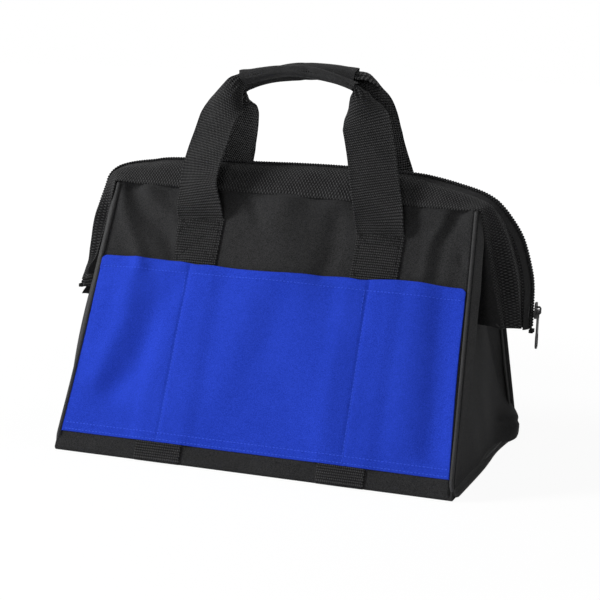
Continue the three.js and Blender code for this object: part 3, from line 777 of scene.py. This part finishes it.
def lift_foot(side, points, share):
    """Raises or lowers the feet of the ears; the share is 0 at the crease and 1 at the zipper."""
    near_foot = 1 - smooth_step(EAR_BOTTOM, EAR_BOTTOM + 32, points[..., 2])
    left_share = np.clip(1 - share, 0, 1) ** 0.8 if side == FRONT else 1 - 0.2 * share
    on_left = points[..., 0] < 0
    lift = np.where(on_left, LEFT_FOOT_LIFT[side] * left_share, RIGHT_FOOT_LIFT * (1 - 0.5 * share))
    points = points.copy()
    points[..., 2] += near_foot * lift
    # What hangs below the left ear's foot stands out from the bag a little
    points[..., 0] -= LEFT_FOOT_FLARE * on_left * (1 - smooth_step(102, 109, points[..., 2]))
    return points


def zip_place(side, lift, y):
    """Points along the zipper at a distance out from it and a distance from the middle plane."""
    at = ZIP_LINE + lift * ZIP_OUT
    return points_of(at[:, 0], side * y, at[:, 1])


def make_band(side):
    name = SIDE_NAMES[side]
    fold = FOLD_LINE * np.array([1, side, 1])
    zip_edge = zip_place(side, -TAPE_SLOPE, BAND_EDGE)
    share = np.linspace(0, 1, 25)[None, :, None]
    face = fold[:, None] + share * (zip_edge - fold)[:, None]
    normal = outward_normals(face)
    ear = 1 - smooth_step(168, 204, ZIP_LINE[:, 1])[:, None]
    s = share[..., 0]
    crown = 3.0 * np.sin(math.pi * s**1.5) * (1 - ear)
    ridge = ear * (5.4 * bump(s - 0.6, 0.14) - 4.8 * bump(s - 0.27, 0.15) - 1.6 * bump(s - 0.88, 0.07))
    pucker = (1 - ear) * bump(np.abs(FOLD_LINE[:, :1]) - 142, 7) * (1 - s) * 1.0
    ripple = 0.35 * np.sin(ZIP_RUN[:, None] / 9 + 3 * s) * np.sin(ZIP_RUN[:, None] / 23) * np.sin(math.pi * s)
    ridge = ridge * np.where(ZIP_LINE[:, :1] < 0, 0.45 + 0.55 * smooth_step(112, 145, ZIP_LINE[:, 1:]), 1)
    face = face + normal * (crown + ridge + pucker + ripple)[..., None]
    # The lower edge laps over the top of the wall
    lap = (1 - ear[..., None]) * np.clip(1 - s / 0.12, 0, 1)[..., None]
    face = face + lap * (1.7 * wall_normal(side) + np.array([0, 0, -1.6]))
    face = lift_foot(side, fold_foot_in(face, normal), share[..., 0])
    runs = np.concatenate([[ZIP_RUN[0]] * 3, ZIP_RUN, [ZIP_RUN[-1]] * 3])
    places = points_of(-26 * (1 - s), runs[:, None])
    piece = sheet(f"{name}_mouth_band_web", face, BAND_THICKNESS, BAND_WEB, places=places)
    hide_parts(f"{name}_mouth_band")
    blend_ear(piece)


def fold_foot_in(face, normal):
    """Turns the cloth in at both ends of a grid, as a hem under each ear."""
    hem = [(reach, np.array([0, 0, rise])) for reach, rise in ((8, 3.0), (4, 1.0), (1.2, -0.2))]
    start, end = ([face[k] - normal[k] * reach + rise for reach, rise in hem] for k in (0, -1))
    return np.concatenate([start, face, end[::-1]])


def make_tape(side):
    name = SIDE_NAMES[side]
    inner, outer = COIL_GAP / 2 - 0.3, BAND_EDGE + 1.2
    columns = []
    for share in np.linspace(0, 1, 9):
        y = outer + share * (inner - outer)
        lift = 0.1 - (TAPE_SLOPE + 0.6) * (1 - share) ** 1.2 + 0.5 * math.sin(math.pi * share)
        columns.append(zip_place(side, lift, y))
    face = np.stack(columns, 1)
    face = np.where(face[..., :1] < 0, lift_foot(side, face, 1.0), face)
    piece = sheet(f"{name}_zip_tape_cloth", face, TAPE_THICKNESS, TAPE_CLOTH)
    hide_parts(f"{name}_zip_tape")
    blend_ear(piece)


TOOTH_PITCH = 2.1
TOOTH_LIFT = 1.0
TOOTH_SHAPE = capsule(3.4, 0.98, 1.0, around=8, stations=(0.4, 0.8, 1, 1, 1, 0.8, 0.4))
SLIDER_TOP = 131


def make_coil(side):
    """Teeth of one row; they mesh with the other row above the slider and stand apart below it."""
    name = SIDE_NAMES[side]
    phase = 0 if side == FRONT else TOOTH_PITCH / 2
    places = np.arange(1.2 + phase, ZIP_RUN[-1] - 1, TOOTH_PITCH)
    x, z, out_x, out_z = (np.interp(places, ZIP_RUN, values) for values in (*ZIP_LINE.T, *ZIP_OUT.T))
    out = unit(points_of(out_x, 0 * x, out_z))
    open_share = (x > 0) * (1 - smooth_step(SLIDER_TOP - 8, SLIDER_TOP + 2, z))
    origins = points_of(x, side * (1.35 + 0.85 * open_share), z) + TOOTH_LIFT * out
    across = np.broadcast_to([0.0, 1, 0], out.shape)
    axes = np.stack([across, unit(np.cross(across, out)), out], 1)
    piece = repeated(f"{name}_zip_coil_teeth", *TOOTH_SHAPE, origins, axes, COIL_NYLON)
    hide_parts(f"{name}_zip_coil")
    blend_ear(piece)


# Ends of the bag
FOOT_STRIP_TOP = 11
END_INSET = 2.5
END_CORNER_RADIUS = 8


def foot_draw(y):
    """How far the foot of an end is drawn in between its corners, most towards the back."""
    return 2.6 * bump(y - 40, 38) + 0.6


def end_sink(y, z):
    """How far the end panel lies inside the end's plane.

    It slopes in at the foot and has a valley that runs up towards the middle; it puffs out over the
    back bottom corner, under a short crease."""
    half = BASE_DEPTH / 2 - WALL_FALL * z / SEAM_HEIGHT
    foot = foot_draw(y) * (1 - smooth_step(20, 90, z))
    foot = foot + 2.8 * smooth_step(1, FOOT_STRIP_TOP, z) * (1 - 0.7 * smooth_step(15, 80, z))
    crease = 78 - 47 * np.clip((z - 25) / 77, 0, 1.2) ** 1.25
    span = np.where(y < crease, half + crease, np.maximum(half - crease, 8))
    away = np.clip(np.abs(y - crease) / span, 0, 1)
    valley = 6 * smooth_step(22, 80, z) * (1 - away) ** 1.1
    puff = 10.5 * bump(y - 86, 20) * bump(z - 13, 14)
    short_crease = 1.6 * bump(z - 25 + 0.23 * (y - 46), 2.0) * smooth_step(42, 60, y)
    slot = 6 * bump(y + 36, 18) * smooth_step(90, 125, z)
    ripple = 0.5 * np.sin(y / 9 + z / 15) * np.sin(z / 21) * (1 - np.clip(np.abs(y) / half, 0, 1))
    return END_INSET + foot + valley + short_crease + slot - puff + ripple


def end_point(hand, y, z, out=0.0):
    return settle(points_of(hand * (end_x(z) - end_sink(y, z) + out), y, z))


def make_end_panel(hand, side):
    name = f"{HAND_NAMES[hand]}_end"
    z = np.linspace(1.2, SEAM_HEIGHT - 2, 90)[:, None]
    half = BASE_DEPTH / 2 - WALL_FALL * z / SEAM_HEIGHT - 1.0
    low = np.clip(END_CORNER_RADIUS - z, 0, END_CORNER_RADIUS)
    half = half - (END_CORNER_RADIUS - np.sqrt(END_CORNER_RADIUS**2 - low**2))
    y = side * np.linspace(0, 1, 44)[None, :] * half
    piece = sheet(f"{name}_{SIDE_NAMES[side]}_cloth", end_point(hand, y, z), END_THICKNESS, BLACK_CLOTH)
    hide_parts(f"{name}_panel")
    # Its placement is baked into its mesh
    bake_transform(piece)


# Where the gusset's inner edge meets the end panel at its foot, from the middle plane
GUSSET_ROOT = 8


def make_gusset(hand, side):
    name = f"{SIDE_NAMES[side]}_{HAND_NAMES[hand]}_gusset"
    z = np.linspace(EAR_BOTTOM - 0.5, 196, 46)[:, None]
    rise = (z - EAR_BOTTOM) / (SEAM_HEIGHT - EAR_BOTTOM)
    foot = np.array([end_x(EAR_BOTTOM) + FOLD_STAND_OUT, FOLD_HALF_DEPTH])
    top = np.array([end_x(SEAM_HEIGHT), SEAM_DEPTH / 2])
    crease = foot + rise * (top - foot)
    root_y = GUSSET_ROOT + rise * (SEAM_DEPTH / 2 + 1 - GUSSET_ROOT)
    root = end_point(hand, side * root_y, z, 0.4)
    crease = points_of(hand * (crease[:, :1] - 0.8), side * (crease[:, 1:] - 0.8), z)
    share = np.linspace(0, 1, 14)[None, :, None]
    face = root + share * (crease - root)
    sink = 2.5 * np.sin(math.pi * share[..., 0]) * (1 - rise)
    face = face + points_of(-hand * sink * 0.5, -side * sink, 0 * sink)
    face = lift_foot(side, face, 1 - share[..., 0])
    piece = sheet(f"{name}_cloth", face, GUSSET_THICKNESS, BLACK_CLOTH)
    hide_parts(name)
    blend_ear(piece)


def binding_section(centre, width, lean):
    """Section of a binding (outward from the end, in towards its middle): a round ridge and its tape."""
    turns = np.radians(np.linspace(40, 320, 15)) + lean - math.radians(45)
    ridge = centre + RIDGE_RADIUS * np.stack([np.cos(turns), np.sin(turns)], -1)
    way = np.array([math.cos(lean), math.sin(lean)])
    side_way = np.array([way[1], -way[0]])
    root = centre + RIDGE_RADIUS * way - 0.55 * side_way
    run = np.array([0.0, 0.1, 0.3, 0.5, 0.7, 0.85, 0.96])
    half = np.array([0.35, 0.5, 0.65, 0.7, 0.7, 0.6, 0.45])
    curl = -TAPE_CURL * width * run * (1 - run)
    middle = root + run[:, None] * width * way + curl[:, None] * side_way
    outer = middle + half[:, None] * side_way
    inner = (middle - half[:, None] * side_way)[::-1]
    return np.vstack([ridge, outer, inner])


# Radius of the binding's path round the bottom corner
BINDING_BEND = 10
# How far each tape leans from straight out (0) towards the end's middle (90), high and low on the corner,
# and how far its ridge stands proud of the wall
CORNER_BINDINGS = {
    (FRONT, LEFT): (46, 66, 0.5),
    (FRONT, RIGHT): (47, 84, 1.9),
    (BACK, LEFT): (60, 84, 0.9),
    (BACK, RIGHT): (86, 88, 0.9),
}
FOOT_LEAN = 124
# The tape's outer half turns out again: how far it lies off a straight line, as a share of its width
TAPE_CURL = 0.42


def make_binding(hand, side):
    """Binding of one corner: down the wall's edge, round the bottom corner and to the middle of the end."""
    name = f"{SIDE_NAMES[side]}_{HAND_NAMES[hand]}_binding"
    inner = math.pi / 2 - WALL_LEAN
    tangent = BINDING_BEND / math.tan(inner / 2)
    down = np.array([math.sin(WALL_LEAN), -math.cos(WALL_LEAN)])
    corner = np.array([BASE_DEPTH / 2, 0])
    length = WALL_SLANT - 3
    centre = np.array([corner[0] - tangent, BINDING_BEND])
    turn = np.linspace(WALL_LEAN, -math.pi / 2, 22)
    arc = centre + BINDING_BEND * np.stack([np.cos(turn), np.sin(turn)], -1)
    path = evenly(np.vstack([corner - down * length, arc, [[0, 0]]]), 2.0)
    along = unit(np.gradient(path, axis=0))
    inward = np.stack([along[:, 1], -along[:, 0]], -1)
    run = lengths_along(path)
    turn_start = length - tangent
    on_foot = smooth_step(turn_start, turn_start + BINDING_BEND * (math.pi - inner), run)
    low_share = smooth_step(length - 100, length - 20, run)
    high_lean, low_lean, proud = CORNER_BINDINGS[side, hand]
    rings = []
    for k, (place, way) in enumerate(zip(path, inward)):
        width = FLANGE_WIDTH * (0.45 + 0.55 * smooth_step(0, 24, run[k])) * (1 - 0.06 * low_share[k])
        width = width + 0.2 * math.sin(run[k] / 7)
        lean = high_lean + (low_lean - high_lean) * low_share[k] + 2 * math.sin(run[k] / 19 + hand)
        lean = lean + (FOOT_LEAN - lean) * on_foot[k]
        ridge_out = -RIDGE_INSET + (RIDGE_INSET - 0.9 - foot_draw(side * place[0])) * on_foot[k]
        ridge_in = -proud + (proud + 2.0) * on_foot[k]
        section = binding_section(np.array([ridge_out, ridge_in]), width, math.radians(lean))
        flat = place + section[:, 1:] * way
        ring = points_of(hand * (end_x(place[1]) + section[:, 0]), side * flat[:, 0], flat[:, 1])
        rings.append(settle(ring))
    piece = tube(f"{name}_tape", np.array(rings), BINDING_CLOTH, 65)
    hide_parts(name, f"{HAND_NAMES[hand]}_bottom_binding")
    blend_foot(piece)


def make_bottom():
    x = np.linspace(-1, 1, 60)[None, :] * (BASE_LENGTH / 2 - 4)
    y = np.linspace(-1, 1, 40)[:, None] * (BASE_DEPTH / 2 - 6)
    face = settle(points_of(x, y, 0.1 + 0 * x))
    piece = sheet("bottom_cloth", face, 1.5, BLACK_CLOTH)
    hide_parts("bottom_panel")
    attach(piece, "base")


# Handles: middle line of the webbing in the leaning plane of the handle (along X, up from the stitch line);
# the grip's points have its height too. Spread is the length over which the rolled webbing opens out at each
# end, opening how fast it starts to at the right one, and twist the turn of each leg in degrees.
HANDLE_LINES = {
    FRONT: {
        "left": [
            (-70, -1), (-71, 9), (-72.6, 18), (-73.9, 28), (-73.6, 38), (-71.7, 50), (-68.6, 63),
            (-65.6, 76), (-62.4, 87), (-58.2, 97), (-53.2, 105),
        ],
        "grip": [
            (-47.9, 109.8, 10.6), (-41.4, 111.6, 9.8), (-30.3, 114.3, 8.6), (-18.4, 116.6, 8.2),
            (-2.5, 117.7, 8.7), (13.6, 116, 7.8), (29.9, 112.4, 7.2), (42.2, 108.2, 6.6),
        ],
        "right": [
            (45.4, 103.8), (47.6, 97), (50.4, 90), (53.8, 82), (57.5, 70.5), (61.3, 57), (65.8, 39),
            (69.8, 24), (72.6, 12), (73.9, -1),
        ],
        "spread": (39, 26),
        "opening": 1.2,
        "twist": (20, 11),
    },
    BACK: {
        "left": [(-76, -1), (-73.6, 20), (-70, 41), (-66, 57), (-63, 72), (-61.8, 84), (-61.2, 94)],
        "grip": [
            (-57, 102, 11), (-48, 107, 11), (-38, 110.6, 11.6), (-20, 114.8, 12), (-6, 116.6, 12),
            (10, 117.4, 12), (23, 116.5, 11.8), (36, 114.6, 11.2),
        ],
        "right": [
            (41.5, 112.6), (45.2, 107.6), (47.6, 101.5), (49.6, 94.5), (51.2, 86.2), (52.8, 76.8),
            (55, 63.5), (58, 51), (61.6, 37.5), (65.6, 20), (70, -1),
        ],
        "spread": (22, 44),
        "opening": 2.4,
        "twist": (0, 0),
    },
}
ROLLED = math.radians(318)
FLAT = math.radians(14)
SEWN_FLAT = math.radians(4)
# How far a leg bows out from the plane of its handle, and the height where it does so most
LEG_BOW = (5.6, 19)
GRIP_DEPTH = 14.6


def handle_point(side, x, height, out):
    """A place in the plane of a handle that stands up: along X, up from the stitch line, out from the bag."""
    y = HANDLE_HINGE[0] - height * math.sin(HANDLE_LEAN) + out * math.cos(HANDLE_LEAN)
    z = HANDLE_HINGE[1] + height * math.cos(HANDLE_LEAN) + out * math.sin(HANDLE_LEAN)
    return points_of(x, side * y, z)


def handle_path(side):
    """The middle line of the webbing, evenly spaced, with the runs where the grip starts and ends."""
    line = HANDLE_LINES[side]
    curve = smooth_curve([*line["left"], *[knot[:2] for knot in line["grip"]], *line["right"]], 12)
    run = lengths_along(curve)
    first, last = len(line["left"]), len(line["left"]) + len(line["grip"]) - 1
    return evenly(curve, 1.6), float(run[first * 12]), float(run[last * 12])


def grip_height(side, x):
    grip = np.array(HANDLE_LINES[side]["grip"])
    return np.interp(x, grip[:, 0], grip[:, 2])


def handle_axes(side, middle):
    """Unit vectors along the webbing's middle line, across the webbing and out from the bag."""
    along = unit(np.gradient(middle, axis=0))
    across = unit(np.cross(along, [0, side * math.cos(HANDLE_LEAN), math.sin(HANDLE_LEAN)]))
    return along, across, np.cross(across, along)


def leg_bow(side, x, height):
    """How far the webbing stands out from the plane of its handle.

    It comes out from behind the end of the strap, whatever the wall's folds, and bows out above it."""
    most, at_height = LEG_BOW
    rise = np.clip(height, 0, None) / at_height
    foot_sag = wall_sag(side, x, STITCH_HEIGHT + np.clip(height, 0, 5)) - 0.5
    return most * rise * np.exp(1 - rise) + foot_sag * (1 - smooth_step(2, 30, height))


def webbing_bend(side, before_grip, outside, height):
    """The angle that the webbing's width is rolled through, from its length outside the grip."""
    spread_left, spread_right = HANDLE_LINES[side]["spread"]
    left_open = smooth_step(-3, spread_left, outside)
    right_open = 1 - (1 - np.clip((outside - 3.5) / spread_right, 0, 1)) ** HANDLE_LINES[side]["opening"]
    flat = SEWN_FLAT + (FLAT - SEWN_FLAT) * smooth_step(6, 40, height)
    return flat + (ROLLED - flat) * (1 - np.where(before_grip, left_open, right_open))


def make_handle_webbing(side):
    name = SIDE_NAMES[side]
    path, grip_start, grip_end = handle_path(side)
    run = lengths_along(path)
    x, height = path.T
    outside = np.maximum(np.maximum(grip_start - run, run - grip_end), 0)
    bend = webbing_bend(side, run < grip_start, outside, height)
    middle = handle_point(side, x, height, leg_bow(side, x, height))
    along, across, face_out = handle_axes(side, middle)
    twist = np.radians(np.where(run < (grip_start + grip_end) / 2, *HANDLE_LINES[side]["twist"]))
    twist = twist * smooth_step(3, 26, height) * (1 - smooth_step(80, 104, height))
    cosine, sine = np.cos(twist)[:, None], np.sin(twist)[:, None]
    across, face_out = across * cosine + face_out * sine, face_out * cosine - across * sine
    radius = WEB_WIDTH / bend
    centre = radius * (1 - np.sin(bend / 2) / (bend / 2))
    s = np.linspace(-0.5, 0.5, 37)[None, :]
    angle = s * bend[:, None]
    # Inside the grip it is squeezed to the sleeve's height
    squeeze = (grip_height(side, x) - 2.6) / (2 * WEB_WIDTH / ROLLED)
    squeeze = squeeze + (1 - squeeze) * smooth_step(0, 8, outside)
    sideways = radius[:, None] * np.sin(angle) * squeeze[:, None]
    inwards = centre[:, None] - radius[:, None] * (1 - np.cos(angle))
    crease = 0.8 * np.sin(s * 60) * bump(outside - 5, 7)[:, None]
    # The edges of the legs curl out a little
    opened = HANDLE_LINES[side]["spread"][1]
    curl = 0.7 * smooth_step(opened, opened + 8, outside)
    crease = crease + np.abs(2 * s) ** 10 * curl[:, None]
    face = middle[:, None] + sideways[..., None] * across[:, None]
    face = face + (inwards + crease)[..., None] * face_out[:, None]
    places = points_of(s * WEB_WIDTH, run[:, None])
    piece = sheet(f"{name}_handle_web", face, STRAP_THICKNESS - 0.1, STRAP_WEB, (0, 0, 235), places)
    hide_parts(f"{name}_handle_webbing")
    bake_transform(piece)


def make_grip(side):
    name = SIDE_NAMES[side]
    path, grip_start, grip_end = handle_path(side)
    run = lengths_along(path)
    inside = (run > grip_start - 0.8) & (run < grip_end + 0.8)
    path, run = path[inside], run[inside] - grip_start
    length = grip_end - grip_start
    middle = handle_point(side, path[:, 0], path[:, 1], -1.0)
    along, across, out = handle_axes(side, middle)
    height = grip_height(side, path[:, 0])
    turn = 2 * math.pi * np.arange(40)[None, :] / 40
    squareness = 2 / 2.7
    round_x, round_y = (np.sign(way) * np.abs(way) ** squareness for way in (np.cos(turn), np.sin(turn)))
    r = run[:, None]
    to_end = np.minimum(r, length - r)
    swell = 1 + 0.05 * np.sin(r / 7 + 2 * turn) + 0.09 * np.sin(5 * turn + r / 4) * bump(to_end, 9)
    swell = swell - 0.09 * bump(r - 0.58 * length, 3) * (1 + np.cos(turn - 2.2)) / 2
    swell = swell + 0.05 * bump(to_end, 2.2)
    # One edge of the sleeve laps over the other along the grip
    swell = swell + 0.07 * smooth_step(1.68, 1.86, turn) * (1 - smooth_step(3.6, 4.6, turn))
    offset = (height[:, None] / 2 * round_x * swell)[..., None] * across[:, None]
    offset = offset + (GRIP_DEPTH / 2 * round_y * swell)[..., None] * out[:, None]
    rings = middle[:, None] + offset
    # The ends turn in round the webbing
    first = middle[0] + 0.8 * offset[0] + 2.0 * along[0]
    last = middle[-1] + 0.8 * offset[-1] - 2.0 * along[-1]
    rings = np.concatenate([first[None], rings, last[None]])
    piece = tube(f"{name}_grip_cloth", rings, SLEEVE_CLOTH)
    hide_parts(f"{name}_grip_sleeve")
    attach(piece, f"{name}_handle")


def paint_kept_nodes():
    """The hard pieces keep their CAD shape and get their finish and slightly rounded edges."""
    finishes = {
        "zip_slider": (BLACK_METAL, 0.3),
        "zip_pull": (BLACK_METAL, 0.28),
        "left_zip_stop": (STOP_PLASTIC, 0.3),
        "right_zip_stop": (STOP_PLASTIC, 0.3),
        "base_board": (BOARD, 0.5),
    }
    for node, (material, edge) in finishes.items():
        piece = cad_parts[node]
        piece.data.materials.clear()
        piece.data.materials.append(material)
        bevel = piece.modifiers.new("Edges", "BEVEL")
        bevel.width = edge * MM
        bevel.segments = 2
        bevel.limit_method = "ANGLE"
        bevel.angle_limit = math.radians(40)


def add_camera():
    """The photo's camera, fitted to the bag's corners in it."""
    azimuth, elevation, roll = math.radians(18.498), math.radians(10.938), math.radians(2.183)
    distance = 1484.38
    focal_pixels, image_width = 1904.78, 600
    target = Vector((1.22, 0, 113.84))
    level = math.cos(elevation)
    back = Vector((math.sin(azimuth) * level, -math.cos(azimuth) * level, math.sin(elevation)))
    right = (-back).cross(Vector((0, 0, 1))).normalized()
    up = right.cross(-back)
    rolled_right = right * math.cos(roll) + up * math.sin(roll)
    rolled_up = up * math.cos(roll) - right * math.sin(roll)
    camera = bpy.data.objects.new("Camera", bpy.data.cameras.new("Camera"))
    camera.data.sensor_width = 36
    camera.data.lens = focal_pixels * camera.data.sensor_width / image_width
    camera.data.clip_start, camera.data.clip_end = 0.01, 100
    place = (target + back * distance) * MM
    axes = Matrix((rolled_right, rolled_up, back)).transposed().to_4x4()
    camera.matrix_world = Matrix.Translation(place) @ axes
    bpy.context.scene.collection.objects.link(camera)
    bpy.context.scene.camera = camera


def add_lamp(name, place, target, size, power):
    data = bpy.data.lights.new(name, "AREA")
    data.shape = "DISK"
    data.size = size
    data.energy = power
    lamp = bpy.data.objects.new(name, data)
    lamp.location = place
    lamp.rotation_euler = (Vector(target) - Vector(place)).to_track_quat("-Z", "Y").to_euler()
    bpy.context.scene.collection.objects.link(lamp)


AMBIENT = 0.07


def add_light():
    add_lamp("KeyLamp", (-2.0, -1.1, 1.4), (0, 0, 0.12), 0.8, 64)
    add_lamp("FillLamp", (0.2, -2.7, 1.0), (0, 0, 0.12), 0.8, 16)
    add_lamp("TopLamp", (0.9, 0.6, 1.9), (0, 0, 0.15), 1.0, 6)
    world = bpy.data.worlds.new("Studio")
    bpy.context.scene.world = world
    n = Nodes(world)
    inputs = {0: n.seen_as_background(), 2: AMBIENT, 3: 1.0}
    strength = n.add("ShaderNodeMix", inputs, data_type="FLOAT").outputs[0]
    n.join(n.tree.nodes["Background"], {"Color": (1, 1, 1, 1), "Strength": strength})


def add_floor():
    """Far from the bag the floor is plain white; near it a tenth of what it shows is lit by the lamps."""
    n = new_material("PaleFloor")
    n.join(n.surface, {"Base Color": (0.85, 0.85, 0.85, 1), "Roughness": 1.0, "Specular IOR Level": 0.0})
    white = n.add("ShaderNodeEmission", {"Strength": 1.04})
    place = n.add("ShaderNodeTexCoord").outputs["Object"]
    distance = n.add("ShaderNodeVectorMath", {0: place}, operation="LENGTH").outputs["Value"]
    whiteness = n.add("ShaderNodeMapRange", {0: distance, 1: 0.35, 2: 0.9, 3: 0.9, 4: 1.0}).outputs[0]
    share = n.math("MULTIPLY", n.seen_as_background(), whiteness)
    mix = n.add("ShaderNodeMixShader", {0: share, 1: n.surface.outputs[0], 2: white.outputs[0]})
    n.join(n.tree.nodes["Material Output"], {"Surface": mix.outputs[0]})
    bpy.ops.mesh.primitive_circle_add(vertices=96, radius=4, fill_type="NGON", location=(0, 0, -0.0003))
    floor = bpy.context.object
    floor.name = "Floor"
    floor.data.materials.append(n.owner)


for side in (FRONT, BACK):
    make_panel(side)
    make_pocket(side)
    make_pocket_stitches(side)
    make_strap_stitches(side)
    make_band(side)
    make_tape(side)
    make_coil(side)
    make_handle_webbing(side)
    make_grip(side)
    for hand in (LEFT, RIGHT):
        make_strap(side, hand)
        make_end_panel(hand, side)
        make_gusset(hand, side)
        make_binding(hand, side)
make_bottom()
paint_kept_nodes()
add_camera()
add_light()
add_floor()

scene = bpy.context.scene
scene.view_settings.view_transform = "Standard"
